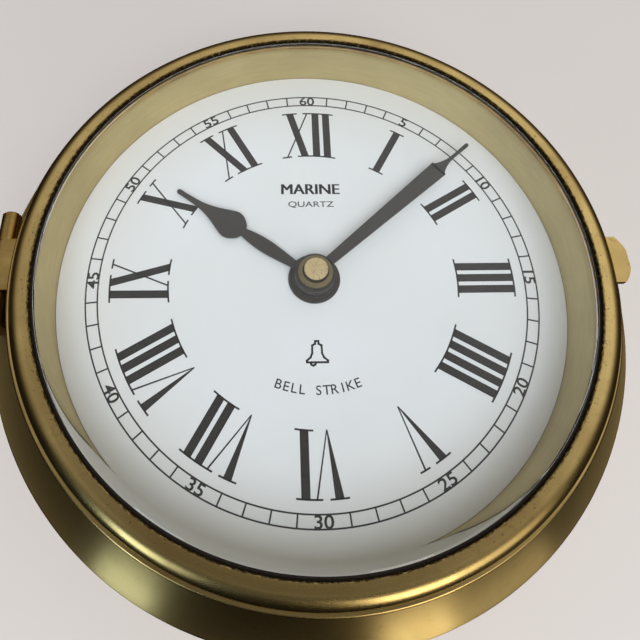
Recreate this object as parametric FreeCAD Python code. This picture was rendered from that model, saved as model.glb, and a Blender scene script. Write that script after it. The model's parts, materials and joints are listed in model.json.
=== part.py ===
import FreeCAD, Part
import math
import os

from FreeCAD import Vector

# Ship's deck clock with a quartz movement and a bell strike.
# Millimetres. The origin is the centre of the back face, +Z comes out of the dial and +Y is 12 o'clock.

os.makedirs("parts", exist_ok=True)

UP = Vector(0, 0, 1)

# ---- case ----
CASE_R = 89.1
CASE_EDGE_Z = 40.3
NECK_R = 77.0
NECK_IN_R = 73.3
NECK_TOP_Z = 55.3
SHELL_WALL = 2.0
SHOULDER_Z = 38.8
SHOULDER_R = 85.0
DRUM_IN_R = CASE_R - SHELL_WALL
DRUM_TOP_Z = 36.7
COVER_T = 1.5
COVER_R = 86.9
LUG_AZIMUTHS = (35.0, 145.0, 215.0, 325.0)
LUG_R = 81.5
LUG_HALF = 5.0
LUG_INWARD = 4.2
LUG_H = 8.0
CASE_SCREW_R = 1.5
BACK_HEAD_R = 2.6
BACK_SCREW_LEN = 7.0
HEAD_SUNK = 0.5
PLATE_SCREW_R = 79.0
PLATE_SCREW_AZIMUTHS = (20.0, 70.0, 160.0, 250.0, 340.0)
PLATE_HEAD_R = 2.8
PLATE_HEAD_H = 1.6
PLATE_SCREW_LEN = 5.8

# ---- back cover ----
KEYHOLE_Y = 72.0
KEYHOLE_R = 4.5
KEY_SLOT_R = 2.2
KEY_SLOT_LEN = 7.5
KNOB_HOLE_R = 10.0
SOUND_HOLE_R = 1.6
SOUND_HOLES_Y = 49.0
SOUND_HOLE_RINGS = ((0.0, 1), (5.5, 6), (11.0, 12))
SWITCH_SLOT = (-3.0, 9.0, 2.4)
BUTTON_HOLE_R = 2.8
SWITCH_AT = (-30.0, 14.0)
BUTTON_AT = (-30.0, -3.0)
BATTERY_WINDOW = (-27.0, 27.0, -44.0, -15.0)
RAIL_X = 28.6
RAIL_T = 1.6
RAIL_Y = (-76.0, -12.8)
RAIL_RUNNER_Z = 2.2
RAIL_LIP_Z = 3.9
RAIL_TOP_Z = 5.0
DOOR_X = 28.4
DOOR_Y = (-44.8, -14.2)
DOOR_LOW_Z = 2.35
DOOR_TOP_Z = 3.65
GRIP_DEPTH = 0.55
GRIP_YS = (-41.5, -39.0, -36.5)

# ---- dial ----
DIAL_Z = 42.0
DIAL_T = 0.8
DIAL_R = 70.2
PLATE_T = 1.2
PLATE_R = 84.5
DIAL_FOOT_AZIMUTHS = (15.0, 105.0, 195.0, 285.0)
DIAL_FOOT_R = 60.0
FOOT_R = 2.2
FOOT_STUD_R = 1.2
FOOT_STUD_LEN = 2.4
SURROUND_T = 0.9

# ---- bezel ----
BEZEL_BASE_Z = 55.4
LIP_R = 71.45
LIP_Z = 60.8
LIP_FLAT_R = 73.3
TORUS_R = 4.1
BEZEL_R = 78.6
GLASS_R = 70.5
GLASS_FLAT_R = 68.0
GLASS_BASE_Z = 56.8
GLASS_TOP_Z = 61.3
GLASS_BEVEL = 0.7
HINGE_X = -81.8
HINGE_Z = 53.5
HINGE_PIN_R = 1.2
HINGE_BARREL_R = 2.4
KNUCKLE_HALF = 7.0
HINGE_HALF = 15.0
KNUCKLE_GAP = 0.15
PIN_HEAD_R = 1.7
PIN_HEAD_H = 0.6
TAB_HALF = 6.5
TAB_T = 1.5
TAB_END_X = 82.6
TAB_ROUND_R = 9.5
INSIDE_BEZEL_R = 60.0
RETAINER_T = 0.8
RETAINER_GAP = 1.2
GASKET_TOP_Z = LIP_Z - 0.9
GLASS_EASE = 0.3

# ---- hands ----
MINUTE_AZIMUTH = 49.3
HOUR_AZIMUTH = 305.0
HAND_T = 0.5
HOUR_HAND_Z = 43.4
MINUTE_HAND_Z = 46.7
MINUTE_LENGTH = 63.4
HOUR_LENGTH = 47.9
MINUTE_HUB_R = 5.6
HOUR_HUB_R = 6.2
BOSS_FOOT_R = 7.25
BOSS_FOOT_H = 0.6
HUB_GAP = 0.35
NUT_FOOT_R = 4.8
NUT_CAP_R = 3.42
KNURL_TEETH = 30
KNURL_R = 0.32

# ---- movement ----
HOUSING_X = 46.0
HOUSING_Y0 = -46.0
HOUSING_Y1 = 36.0
HOUSING_Z0 = 9.0
HOUSING_Z1 = 37.6
HOUSING_WALL = 1.6
BEARING_Z0 = 17.0
BEARING_Z1 = 18.5
BUSH_R = 4.2
BUSH_BORE_R = 2.70
PIPE_R = 2.65
PIPE_BORE_R = 1.80
ARBOR_R = 1.75
MINUTE_WHEEL_AT = (12.0, 0.0)
THIRD_AT = (-12.47, 7.20)
ROTOR_AT = (-23.65, 3.13)
STEM_AT = (21.19, 7.71)
HOUSING_SCREWS_AT = ((-42.0, 30.0), (42.0, 30.0), (-42.0, -12.0), (42.0, -12.0))
PILLARS_AT = ((-33.0, -10.5), (-33.0, 11.0), (28.5, -10.5), (28.5, 12.5))
PILLAR_R = 1.9
HOUSING_SCREW_R = 1.0
HOUSING_POST_R = 2.1
HOUSING_SCREW_LEN = 9.0
HOUSING_HEAD_R = 1.9
HOUSING_HEAD_H = 0.9
DIVIDER_Y = (-15.6, -14.4)
MOVEMENT_WINDOW_X = 30.0
MOVEMENT_WINDOW_TOP_Y = -16.0
LEAD_WINDOW = (26.0, 38.0, 21.0, 32.0)
BEARING_X = (-36.5, 32.0)
BEARING_Y = (-13.4, 15.4)
PIVOT_R = 0.6
PIVOT_HOLE_R = 0.65
FRONT_PIVOT_Z = HOUSING_Z1 - 0.5
PIVOT_END_Z = HOUSING_Z1 - 0.7
CENTRE_PIVOT_R = 1.0
STUD_R = 1.0
STEM_R = 1.5
STEM_PIVOT_R = 0.8
BUSH_FLANGE_R = 5.6
BUSH_FLANGE_T = 0.9
BUSH_NUT_R = 6.4
BUSH_NUT_H = 1.9
CANNON_MODULE = 0.5
HOUR_MODULE = 0.48
CENTRE_MODULE = 0.4
ROTOR_MODULE = 0.35
SPOKES = 4
KNOB_R = 8.0
KNOB_Z = (0.6, 7.4)
KNOB_RIBS = 24
STATOR_Z0 = 14.2
STATOR_Z1 = 15.4
COIL_AXIS = (20.7, 14.8)
COIL_BRIDGE = (-41.0, -18.0, 19.0, 22.4)
COIL_CORE_R = 2.2
COIL_WIRE_R = 3.7
COIL_FLANGE_R = 4.0
COIL_X = (-38.8, -21.2)
COIL_FLANGE_T = 0.9

# ---- electronics and battery ----
BOARD_Z0 = 24.0
BOARD_Z1 = 25.6
CHIPS_X = (-15.5, -1.5)
BOARD_OUTLINE = (-38.0, 12.0, 18.6, 34.0)
BOARD_HOLES_AT = ((-35.5, 31.5), (9.5, 31.5))
CRYSTAL_Y = 26.0
CRYSTAL_R = 1.5
CRYSTAL_X = (-33.0, -26.5)
CELL_R = 12.9
CELL_LEN = 49.0
CELL_Y = -29.5
CELL_Z = 22.4
CELL_FOOT = 1.5
CELL_NUB = 2.0
CELL_NUB_R = 3.3
CONTACT_T = 0.5
CARRIER_X = 36.0

# ---- strike ----
BELL_Y = 61.5
BELL_R = 22.5
BELL_CROWN_Z = 33.0
BELL_MOUTH_Z = 15.0
LEVER_PIVOT = (44.0, 46.0)
HAMMER_HEAD = (27.7, 62.0)
LEVER_TAIL = (60.0, 46.0)
HAMMER_Z = 19.0
LEVER_HALF_T = 0.8
LEVER_HALF_W = 1.8
LEVER_POST_R = 1.5
HEAD_R = 3.2
BELL_POST_R = 2.1
BELL_NUT_R = 4.4
PLUNGER_X = 60.0
PLUNGER_STROKE = 2.4
SOLENOID_Y0 = 12.0
SOLENOID_Y1 = 36.0
SOLENOID_HALF = 8.0
YOKE_T = 1.5
PLUNGER_R = 2.4
PLUNGER_BORE_R = 2.45
PUSHER_R = 1.1
SOLENOID_CORE_R = 3.4
SOLENOID_WIRE_R = 5.9
SOLENOID_FLANGE_R = 6.4
SOLENOID_FLANGE_T = 1.2


def save(name, shape):
    shape.exportStep("parts/" + name + ".step")


def cyl(radius, z0, z1, at=(0.0, 0.0)):
    return Part.makeCylinder(radius, z1 - z0, Vector(at[0], at[1], z0))


def tube(bore, radius, z0, z1, at=(0.0, 0.0)):
    return cyl(radius, z0, z1, at).cut(cyl(bore, z0 - 1, z1 + 1, at))


def rod(radius, start, end):
    """Round bar between two points."""
    a = Vector(*start)
    b = Vector(*end)
    return Part.makeCylinder(radius, (b - a).Length, a, b - a)


def box(x0, x1, y0, y1, z0, z1):
    return Part.makeBox(x1 - x0, y1 - y0, z1 - z0, Vector(x0, y0, z0))


def fused(shapes):
    total = shapes[0]
    for shape in shapes[1:]:
        total = total.fuse(shape)
    return total.removeSplitter()


def cut_all(shape, tools):
    for tool in tools:
        shape = shape.cut(tool)
    return shape


def group(shapes):
    return Part.makeCompound(shapes)


def polar(radius, azimuth):
    """Point at a clock azimuth: 0 at 12 o'clock, clockwise."""
    a = math.radians(90.0 - azimuth)
    return (radius * math.cos(a), radius * math.sin(a))


def path_edges(start, steps, to3d):
    """Straight edge for each (u, v) step, three-point arc for each ((u, v), (u, v)) step."""
    edges = []
    here = start
    for step in steps:
        if isinstance(step[0], tuple):
            middle, end = step
            edges.append(Part.Arc(to3d(here), to3d(middle), to3d(end)).toShape())
        else:
            end = step
            edges.append(Part.makeLine(to3d(here), to3d(end)))
        here = end
    edges.append(Part.makeLine(to3d(here), to3d(start)))
    return edges


def lathe(start, *steps):
    """Turned part: a closed (r, z) outline spun about the Z axis."""
    edges = path_edges(start, steps, lambda p: Vector(p[0], 0, p[1]))
    return Part.Face(Part.Wire(edges)).revolve(Vector(0, 0, 0), UP, 360)


def plate(points, z0, z1):
    """Flat part with a straight-sided outline."""
    wire = Part.makePolygon([Vector(x, y, z0) for x, y in points + points[:1]])
    return Part.Face(wire).extrude(Vector(0, 0, z1 - z0))


def hand_plate(half_widths, tip, z0):
    """Hand outline through (distance, half width) stations, smooth between them, with a round tip."""
    left = [Vector(x, w, z0) for x, w in half_widths]
    right = [Vector(x, -w, z0) for x, w in half_widths]
    upper = Part.BSplineCurve()
    upper.interpolate(left)
    lower = Part.BSplineCurve()
    lower.interpolate(right)
    end = Part.Arc(left[-1], Vector(tip, 0, z0), right[-1]).toShape()
    root = Part.makeLine(right[0], left[0])
    wire = Part.Wire([upper.toShape(), end, lower.toShape(), root])
    return Part.Face(wire).extrude(Vector(0, 0, HAND_T))


def gear(teeth, module, z0, z1, at, phase, slim=0.16):
    """Spur wheel with trapezoidal teeth and generous clock backlash; phase points a tooth."""
    pitch = teeth * module / 2
    top = pitch + 0.85 * module
    root = pitch - 1.15 * module
    step = 2 * math.pi / teeth
    wide = step * (0.5 - slim) * 0.78
    narrow = step * (0.5 - slim) * 0.34
    points = []
    for index in range(teeth):
        a = math.radians(phase) + index * step
        for radius, offset in ((root, -wide), (top, -narrow), (top, narrow), (root, wide)):
            points.append((at[0] + radius * math.cos(a + offset), at[1] + radius * math.sin(a + offset)))
    return plate(points, z0, z1)


def mesh_phase(teeth, at, mate_teeth, mate_at, mate_phase):
    """Phase that puts a tooth gap of this wheel over the tooth nearest to it on its mate."""
    line = math.degrees(math.atan2(at[1] - mate_at[1], at[0] - mate_at[0]))
    mate_step = 360.0 / mate_teeth
    ahead = ((line - mate_phase) / mate_step) % 1.0
    step = 360.0 / teeth
    return line + 180.0 + (0.5 + ahead) * step


# ---------------------------------------------------------------- case

def skirt_steps():
    """Outside of the flared skirt and the neck, from the drum's wall to the mouth."""
    return (
        (CASE_R, CASE_EDGE_Z - 1.0),
        ((CASE_R - 0.25, CASE_EDGE_Z - 0.25), (CASE_R - 0.9, CASE_EDGE_Z + 0.15)),
        ((80.4, 47.6), (NECK_R + 0.45, 54.5)),
        ((NECK_R + 0.15, 54.65), (NECK_R, 54.9)),
        (NECK_R, NECK_TOP_Z),
    )


def case_outline():
    """Everything inside the case's outer surface, as one solid of revolution."""
    return lathe((0, 0), (CASE_R, 0), *skirt_steps(), (0, NECK_TOP_Z))


def case_drum():
    """Brass drum behind the skirt."""
    return tube(DRUM_IN_R, CASE_R, 0, DRUM_TOP_Z)


def case_front():
    """Turned brass front, soldered to the drum: flared skirt, neck and the seat of the base plate."""
    front = lathe(
        (DRUM_IN_R, DRUM_TOP_Z),
        (CASE_R, DRUM_TOP_Z),
        *skirt_steps(),
        (NECK_IN_R, NECK_TOP_Z),
        (NECK_IN_R, SHOULDER_Z),
        (SHOULDER_R, SHOULDER_Z),
    )
    return cut_all(front, plate_screw_holes())


def case_lugs():
    """Brass blocks soldered inside the drum that take the back screws."""
    lugs = []
    rim = cyl(DRUM_IN_R, 0, DRUM_TOP_Z)
    for azimuth in LUG_AZIMUTHS:
        x, y = polar(LUG_R, azimuth)
        block = box(-LUG_HALF, LUG_HALF, -LUG_INWARD, CASE_R - LUG_R, COVER_T, COVER_T + LUG_H)
        block.rotate(Vector(0, 0, 0), UP, -azimuth)
        block.translate(Vector(x, y, 0))
        lugs.append(block.common(rim).cut(cyl(CASE_SCREW_R, 0, DRUM_TOP_Z, (x, y))))
    return group(lugs)


def cheese_screw(head_r, head_h, shank_r, length, at, head_z):
    """Slotted cheese-head screw with its shank towards +Z."""
    x, y = at
    head = cyl(head_r, head_z, head_z + head_h, at)
    shank = cyl(shank_r, head_z + head_h, head_z + head_h + length, at)
    slot = box(x - head_r, x + head_r, y - 0.4, y + 0.4, head_z - 1, head_z + head_h * 0.45)
    return head.fuse(shank).cut(slot).removeSplitter()


def back_screws():
    head_h = COVER_T - HEAD_SUNK - 0.2
    return group([
        cheese_screw(BACK_HEAD_R, head_h, CASE_SCREW_R, BACK_SCREW_LEN, polar(LUG_R, azimuth), HEAD_SUNK)
        for azimuth in LUG_AZIMUTHS
    ])


def case_back():
    """Back cover with the hanging keyhole, battery window, control openings and sound holes."""
    cover = cyl(COVER_R, 0, COVER_T)
    x0, x1, y0, y1 = BATTERY_WINDOW
    low, high = -1, COVER_T + 1
    slot_x, slot_y = SWITCH_AT
    slot_left, slot_right, slot_half = SWITCH_SLOT
    tools = [
        cyl(KEYHOLE_R, low, high, (0, KEYHOLE_Y)),
        cyl(KEY_SLOT_R, low, high, (0, KEYHOLE_Y + KEY_SLOT_LEN)),
        box(-KEY_SLOT_R, KEY_SLOT_R, KEYHOLE_Y, KEYHOLE_Y + KEY_SLOT_LEN, low, high),
        box(x0, x1, y0, y1, low, high),
        cyl(KNOB_HOLE_R, low, high, STEM_AT),
        box(slot_x + slot_left, slot_x + slot_right, slot_y - slot_half, slot_y + slot_half, low, high),
        cyl(BUTTON_HOLE_R, low, high, BUTTON_AT),
    ]
    for azimuth in LUG_AZIMUTHS:
        at = polar(LUG_R, azimuth)
        tools.append(cyl(CASE_SCREW_R + 0.05, low, high, at))
        tools.append(cyl(BACK_HEAD_R + 0.2, low, COVER_T - 0.2, at))
    for radius, count in SOUND_HOLE_RINGS:
        for index in range(count):
            dx, dy = polar(radius, index * 360.0 / count)
            tools.append(cyl(SOUND_HOLE_R, low, high, (dx, SOUND_HOLES_Y + dy)))
    return group([cut_all(cover, tools)] + door_rails())


def door_rails():
    """Two channel rails on the inside of the back cover; the battery door slides on their lower flanges."""
    rails = []
    for side in (-1, 1):
        web = box(RAIL_X, RAIL_X + RAIL_T, *RAIL_Y, COVER_T, RAIL_TOP_Z)
        runner = box(RAIL_X - RAIL_T, RAIL_X + RAIL_T, *RAIL_Y, COVER_T, RAIL_RUNNER_Z)
        lip = box(RAIL_X - RAIL_T, RAIL_X + RAIL_T, *RAIL_Y, RAIL_LIP_Z, RAIL_TOP_Z)
        rail = web.fuse([runner, lip]).removeSplitter()
        if side < 0:
            rail = rail.mirror(Vector(0, 0, 0), Vector(1, 0, 0))
        rails.append(rail)
    return rails


def battery_door():
    """Sliding door with three finger grooves."""
    door = box(-DOOR_X, DOOR_X, *DOOR_Y, DOOR_LOW_Z, DOOR_TOP_Z)
    grip = [box(-10, 10, y - 0.5, y + 0.5, COVER_T, DOOR_LOW_Z + GRIP_DEPTH) for y in GRIP_YS]
    return cut_all(door, grip)


def plate_screw_holes():
    low, high = SHOULDER_Z - 4, SHOULDER_Z + 5
    return [cyl(CASE_SCREW_R, low, high, polar(PLATE_SCREW_R, a)) for a in PLATE_SCREW_AZIMUTHS]


def plate_screws():
    head_z = SHOULDER_Z - PLATE_T - PLATE_HEAD_H
    screws = []
    for azimuth in PLATE_SCREW_AZIMUTHS:
        at = polar(PLATE_SCREW_R, azimuth)
        screws.append(cheese_screw(PLATE_HEAD_R, PLATE_HEAD_H, CASE_SCREW_R, PLATE_SCREW_LEN, at, head_z))
    return group(screws)


def base_plate():
    """Steel plate that carries the movement, the bell and the strike gear behind the dial."""
    low = SHOULDER_Z - PLATE_T
    tools = [cyl(BUSH_R, low - 1, SHOULDER_Z + 1)] + plate_screw_holes()
    for azimuth in DIAL_FOOT_AZIMUTHS:
        tools.append(cyl(FOOT_STUD_R, low - 1, SHOULDER_Z + 1, polar(DIAL_FOOT_R, azimuth)))
    return cut_all(cyl(PLATE_R, low, SHOULDER_Z), tools)


def dial():
    return cyl(DIAL_R, DIAL_Z - DIAL_T, DIAL_Z).cut(cyl(BUSH_R, DIAL_Z - 2, DIAL_Z + 1))


def dial_feet():
    """Posts riveted to the dial; the shoulder spaces it off the base plate."""
    feet = []
    for azimuth in DIAL_FOOT_AZIMUTHS:
        at = polar(DIAL_FOOT_R, azimuth)
        spacer = cyl(FOOT_R, SHOULDER_Z, DIAL_Z - DIAL_T, at)
        stud = cyl(FOOT_STUD_R, SHOULDER_Z - PLATE_T - FOOT_STUD_LEN, SHOULDER_Z, at)
        feet.append(spacer.fuse(stud))
    return group(feet)


def dial_surround():
    """Matt inner ring between the dial's edge and the mouth of the neck."""
    return lathe(
        (DIAL_R + 0.1, DIAL_Z - DIAL_T),
        (NECK_IN_R - 0.1, DIAL_Z - DIAL_T),
        (NECK_IN_R - 0.1, NECK_TOP_Z - 0.1),
        (NECK_IN_R - SURROUND_T, NECK_TOP_Z - 0.1),
        (DIAL_R + 0.1, DIAL_Z),
    )


# ---------------------------------------------------------------- bezel and hinge

def bezel_outline(inner_r):
    """Bezel section from the given inner radius outwards."""
    torus_c = (LIP_FLAT_R, LIP_Z - TORUS_R)
    diagonal = TORUS_R * math.sqrt(0.5)
    return lathe(
        (inner_r, BEZEL_BASE_Z),
        (BEZEL_R - 0.5, BEZEL_BASE_Z),
        ((BEZEL_R - 0.08, BEZEL_BASE_Z + 0.3), (BEZEL_R, BEZEL_BASE_Z + 0.55)),
        ((BEZEL_R - 0.2, BEZEL_BASE_Z + 1.1), (BEZEL_R - 0.7, BEZEL_BASE_Z + 1.3)),
        (LIP_FLAT_R + TORUS_R, torus_c[1]),
        ((torus_c[0] + diagonal, torus_c[1] + diagonal), (LIP_FLAT_R, LIP_Z)),
        (inner_r, LIP_Z),
    )


def bezel_ring():
    ring = bezel_outline(LIP_R)
    groove = tube(LIP_R - 2, NECK_IN_R - SURROUND_T, BEZEL_BASE_Z - 1, GLASS_BASE_Z)
    softened = lathe(
        (LIP_R - 1, LIP_Z + 1),
        (LIP_R - 1, LIP_Z - 0.35),
        (LIP_R, LIP_Z - 0.35),
        ((LIP_R + 0.1, LIP_Z - 0.1), (LIP_R + 0.35, LIP_Z)),
        (LIP_R + 0.35, LIP_Z + 1),
    )
    return cut_all(ring, [groove, softened])


def glass():
    """Flat glass with a ground bevel."""
    return lathe(
        (0, GLASS_BASE_Z),
        (GLASS_R - GLASS_EASE, GLASS_BASE_Z),
        (GLASS_R, GLASS_BASE_Z + GLASS_EASE),
        (GLASS_R, GLASS_TOP_Z - GLASS_BEVEL - 0.1),
        (GLASS_R - 0.1, GLASS_TOP_Z - GLASS_BEVEL),
        ((69.4, GLASS_TOP_Z - 0.28), (GLASS_FLAT_R, GLASS_TOP_Z)),
        (0, GLASS_TOP_Z),
    )


def glass_gasket():
    """Black ring between the glass and the bezel."""
    return tube(GLASS_R, LIP_R, GLASS_BASE_Z, GASKET_TOP_Z)


def glass_retainer():
    """Split spring ring that holds the glass and its gasket in the bezel."""
    ring = tube(GLASS_R - 0.2, NECK_IN_R - SURROUND_T, GLASS_BASE_Z - RETAINER_T, GLASS_BASE_Z)
    return ring.cut(box(-RETAINER_GAP, RETAINER_GAP, -BEZEL_R, -INSIDE_BEZEL_R, NECK_TOP_Z, GLASS_TOP_Z))


def bar_y(radius, y0, y1):
    """Round bar along the hinge line."""
    return rod(radius, (HINGE_X, y0, HINGE_Z), (HINGE_X, y1, HINGE_Z))


def hinge_leaf_case():
    """Pair of outer knuckles on a bracket soldered to the skirt."""
    halves = []
    outside = case_outline()
    inner = KNUCKLE_HALF + KNUCKLE_GAP
    for y0, y1 in ((-HINGE_HALF, -inner), (inner, HINGE_HALF)):
        web = box(HINGE_X - HINGE_BARREL_R, HINGE_X + 1.6, y0, y1, CASE_EDGE_Z + 0.7, HINGE_Z)
        leaf = web.fuse(bar_y(HINGE_BARREL_R, y0, y1))
        halves.append(cut_all(leaf, [bar_y(HINGE_PIN_R + 0.01, y0 - 1, y1 + 1), outside]).removeSplitter())
    return group(halves)


def hinge_leaf_bezel():
    """Middle knuckle on a short leaf soldered to the side of the bezel."""
    leaf = box(HINGE_X, -75.0, -KNUCKLE_HALF, KNUCKLE_HALF, BEZEL_BASE_Z - 0.9, BEZEL_BASE_Z + 0.9)
    lower = box(-80.0, -70.0, -9, 9, 50, BEZEL_BASE_Z + 0.02)
    knuckle = bar_y(HINGE_BARREL_R, -KNUCKLE_HALF, KNUCKLE_HALF)
    bore = bar_y(HINGE_PIN_R + 0.06, -9, 9)
    return cut_all(leaf.cut(lower).fuse(knuckle), [bore, bezel_outline(INSIDE_BEZEL_R)]).removeSplitter()


def hinge_pin():
    """Pin with a burred head at each end."""
    end = HINGE_HALF + PIN_HEAD_H
    shaft = bar_y(HINGE_PIN_R, -end, end)
    return fused([shaft, bar_y(PIN_HEAD_R, HINGE_HALF, end), bar_y(PIN_HEAD_R, -end, -HINGE_HALF)])


def finger_tab():
    """Small tongue for opening the bezel."""
    tongue = box(75.0, TAB_END_X, -TAB_HALF, TAB_HALF, BEZEL_BASE_Z, BEZEL_BASE_Z + TAB_T)
    rounded = cyl(TAB_ROUND_R, BEZEL_BASE_Z - 1, BEZEL_BASE_Z + 3, (73.4, 0))
    return tongue.common(rounded).cut(bezel_outline(INSIDE_BEZEL_R))


# ---------------------------------------------------------------- hands

def turned_to(shape, azimuth):
    shape.rotate(Vector(0, 0, 0), UP, 90.0 - azimuth)
    return shape


def minute_hand():
    """Tapering bar that widens outwards, then steps down to a fine pointer."""
    sides = [(3.5, -1.38), (49.6, -2.62), (49.6, 2.62), (3.5, 1.38)]
    bar = plate(sides, MINUTE_HAND_Z, MINUTE_HAND_Z + HAND_T)
    pointer = [
        (49.4, 2.60), (50.3, 2.15), (51.8, 1.42), (53.4, 0.90), (55.2, 0.58), (58.0, 0.50), (62.75, 0.60),
    ]
    tip = hand_plate(pointer, MINUTE_LENGTH, MINUTE_HAND_Z)
    hub = cyl(MINUTE_HUB_R, MINUTE_HAND_Z - 0.2, MINUTE_HAND_Z + HAND_T)
    hand = turned_to(fused([bar, tip, hub]), MINUTE_AZIMUTH)
    return hand.cut(cyl(ARBOR_R, MINUTE_HAND_Z - 2, MINUTE_HAND_Z + 2))


def hour_hand():
    """Swelling stem, then a spade-shaped bulb that runs out to a fine tip."""
    stations = [
        (5.0, 1.05), (8.0, 1.35), (12.8, 1.85), (16.0, 2.05), (19.2, 1.98), (22.4, 1.60), (24.0, 1.34),
    ]
    bulb = [
        (23.9, 1.34), (24.6, 2.3), (25.6, 3.25), (26.8, 4.0), (28.1, 4.35), (29.4, 4.25), (31.9, 3.30),
        (35.1, 2.08), (38.3, 1.22), (41.5, 0.87), (44.7, 0.74), (47.2, 0.74),
    ]
    bar = hand_plate(stations, 24.4, HOUR_HAND_Z)
    blade = hand_plate(bulb, HOUR_LENGTH, HOUR_HAND_Z)
    hub = cyl(HOUR_HUB_R, HOUR_HAND_Z - 0.3, HOUR_HAND_Z + HAND_T)
    hand = turned_to(fused([bar, blade, hub]), HOUR_AZIMUTH)
    return hand.cut(cyl(PIPE_R + 1.2, HOUR_HAND_Z - 2, HOUR_HAND_Z + 2))


def hour_boss():
    """Black stepped collet pressed on the hour pipe."""
    low = DIAL_Z + 0.25
    foot_top = low + BOSS_FOOT_H
    hand_top = HOUR_HAND_Z + HAND_T
    top = MINUTE_HAND_Z - HUB_GAP
    return lathe(
        (PIPE_R, low),
        (BOSS_FOOT_R, low),
        (BOSS_FOOT_R, low + 0.35),
        ((BOSS_FOOT_R - 0.15, foot_top - 0.05), (BOSS_FOOT_R - 0.4, foot_top)),
        (PIPE_R + 1.2, foot_top),
        (PIPE_R + 1.2, hand_top),
        (MINUTE_HUB_R, hand_top),
        (MINUTE_HUB_R, top - 0.3),
        ((MINUTE_HUB_R - 0.1, top - 0.1), (MINUTE_HUB_R - 0.3, top)),
        (PIPE_R, top),
    )


def hand_nut():
    """Brass nut with a turned cap and a knurled lower edge."""
    low = MINUTE_HAND_Z + HAND_T
    body = lathe(
        (0, low),
        (NUT_FOOT_R - 0.15, low),
        (NUT_FOOT_R, low + 0.2),
        ((NUT_FOOT_R - 0.08, low + 0.95), (NUT_FOOT_R - 0.55, low + 1.45)),
        (NUT_CAP_R + 0.08, low + 1.6),
        (NUT_CAP_R + 0.08, low + 1.4),
        (NUT_CAP_R - 0.12, low + 1.4),
        (NUT_CAP_R, low + 1.75),
        (NUT_CAP_R, low + 2.75),
        ((NUT_CAP_R - 0.08, low + 2.95), (NUT_CAP_R - 0.32, low + 3.05)),
        (0, low + 3.15),
    )
    knurl = []
    for index in range(KNURL_TEETH):
        at = polar(NUT_FOOT_R + 0.2, index * 360.0 / KNURL_TEETH)
        knurl.append(cyl(KNURL_R, low - 1, low + 0.75, at))
    return cut_all(body, knurl).cut(cyl(ARBOR_R, low - 1, low + 1.2))


# ---------------------------------------------------------------- movement

def movement_housing():
    """Black plastic box, open at the back, with a wall that parts off the battery bay."""
    w = HOUSING_WALL
    outside = box(-HOUSING_X, HOUSING_X, HOUSING_Y0, HOUSING_Y1, HOUSING_Z0 + w, HOUSING_Z1)
    inside = box(-HOUSING_X + w, HOUSING_X - w, HOUSING_Y0 + w, HOUSING_Y1 - w, HOUSING_Z0, HOUSING_Z1 - w)
    divider = box(-HOUSING_X + w, HOUSING_X - w, *DIVIDER_Y, HOUSING_Z0 + w, HOUSING_Z1 - w)
    shell = fused([outside.cut(inside), divider] + housing_posts() + contact_carriers())
    tools = [cyl(BUSH_R, HOUSING_Z1 - 3, HOUSING_Z1 + 1)]
    pivots = (
        (THIRD_AT, PIVOT_HOLE_R),
        (ROTOR_AT, PIVOT_HOLE_R),
        (MINUTE_WHEEL_AT, STUD_R),
        (STEM_AT, STEM_PIVOT_R + 0.05),
    )
    for at, radius in pivots:
        tools.append(cyl(radius, HOUSING_Z1 - w - 1, FRONT_PIVOT_Z, at))
    return cut_all(shell, tools)


def movement_back():
    """Cover of the movement, open behind the battery bay and where the leads of the strike coil come out."""
    cover = box(-HOUSING_X, HOUSING_X, HOUSING_Y0, HOUSING_Y1, HOUSING_Z0, HOUSING_Z0 + HOUSING_WALL)
    tools = [
        box(-MOVEMENT_WINDOW_X, MOVEMENT_WINDOW_X, HOUSING_Y0 + 2.0, MOVEMENT_WINDOW_TOP_Y, 0, BEARING_Z0),
        box(*LEAD_WINDOW, 0, BEARING_Z0),
        cyl(STEM_R + 0.08, 0, BEARING_Z0, STEM_AT),
        cyl(PIVOT_HOLE_R, HOUSING_Z0 + 0.5, BEARING_Z0, ROTOR_AT),
    ]
    for at in HOUSING_SCREWS_AT:
        tools.append(cyl(HOUSING_SCREW_R, 0, BEARING_Z0, at))
    return cut_all(cover, tools)


def housing_posts():
    """Screw posts standing in the corners of the movement box."""
    low = HOUSING_Z0 + HOUSING_WALL
    high = HOUSING_Z1 - HOUSING_WALL
    return [tube(HOUSING_SCREW_R, HOUSING_POST_R, low, high, at) for at in HOUSING_SCREWS_AT]


def movement_screws():
    head_z = HOUSING_Z0 - HOUSING_HEAD_H
    sizes = (HOUSING_HEAD_R, HOUSING_HEAD_H, HOUSING_SCREW_R, HOUSING_SCREW_LEN)
    return group([cheese_screw(*sizes, at, head_z) for at in HOUSING_SCREWS_AT])


def bearing_plate():
    """Brass plate for the rear pivots of the train."""
    sheet = box(*BEARING_X, *BEARING_Y, BEARING_Z0, BEARING_Z1)
    holes = (
        (CENTRE_PIVOT_R + 0.05, (0, 0)),
        (PIVOT_HOLE_R, THIRD_AT),
        (PIVOT_R + 0.3, ROTOR_AT),
        (STEM_R + 0.2, STEM_AT),
    )
    return cut_all(sheet, [cyl(radius, 0, HOUSING_Z1, at) for radius, at in holes])


def pillars():
    return group([cyl(PILLAR_R, BEARING_Z1, HOUSING_Z1 - HOUSING_WALL, at) for at in PILLARS_AT])


def center_bush():
    """Threaded bush that clamps the movement, base plate and dial together."""
    flange = HOUSING_Z1 - HOUSING_WALL
    low = flange - BUSH_FLANGE_T
    outside = fused([cyl(BUSH_FLANGE_R, low, flange), cyl(BUSH_R, low, DIAL_Z)])
    return outside.cut(cyl(BUSH_BORE_R, 0, GLASS_TOP_Z))


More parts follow.
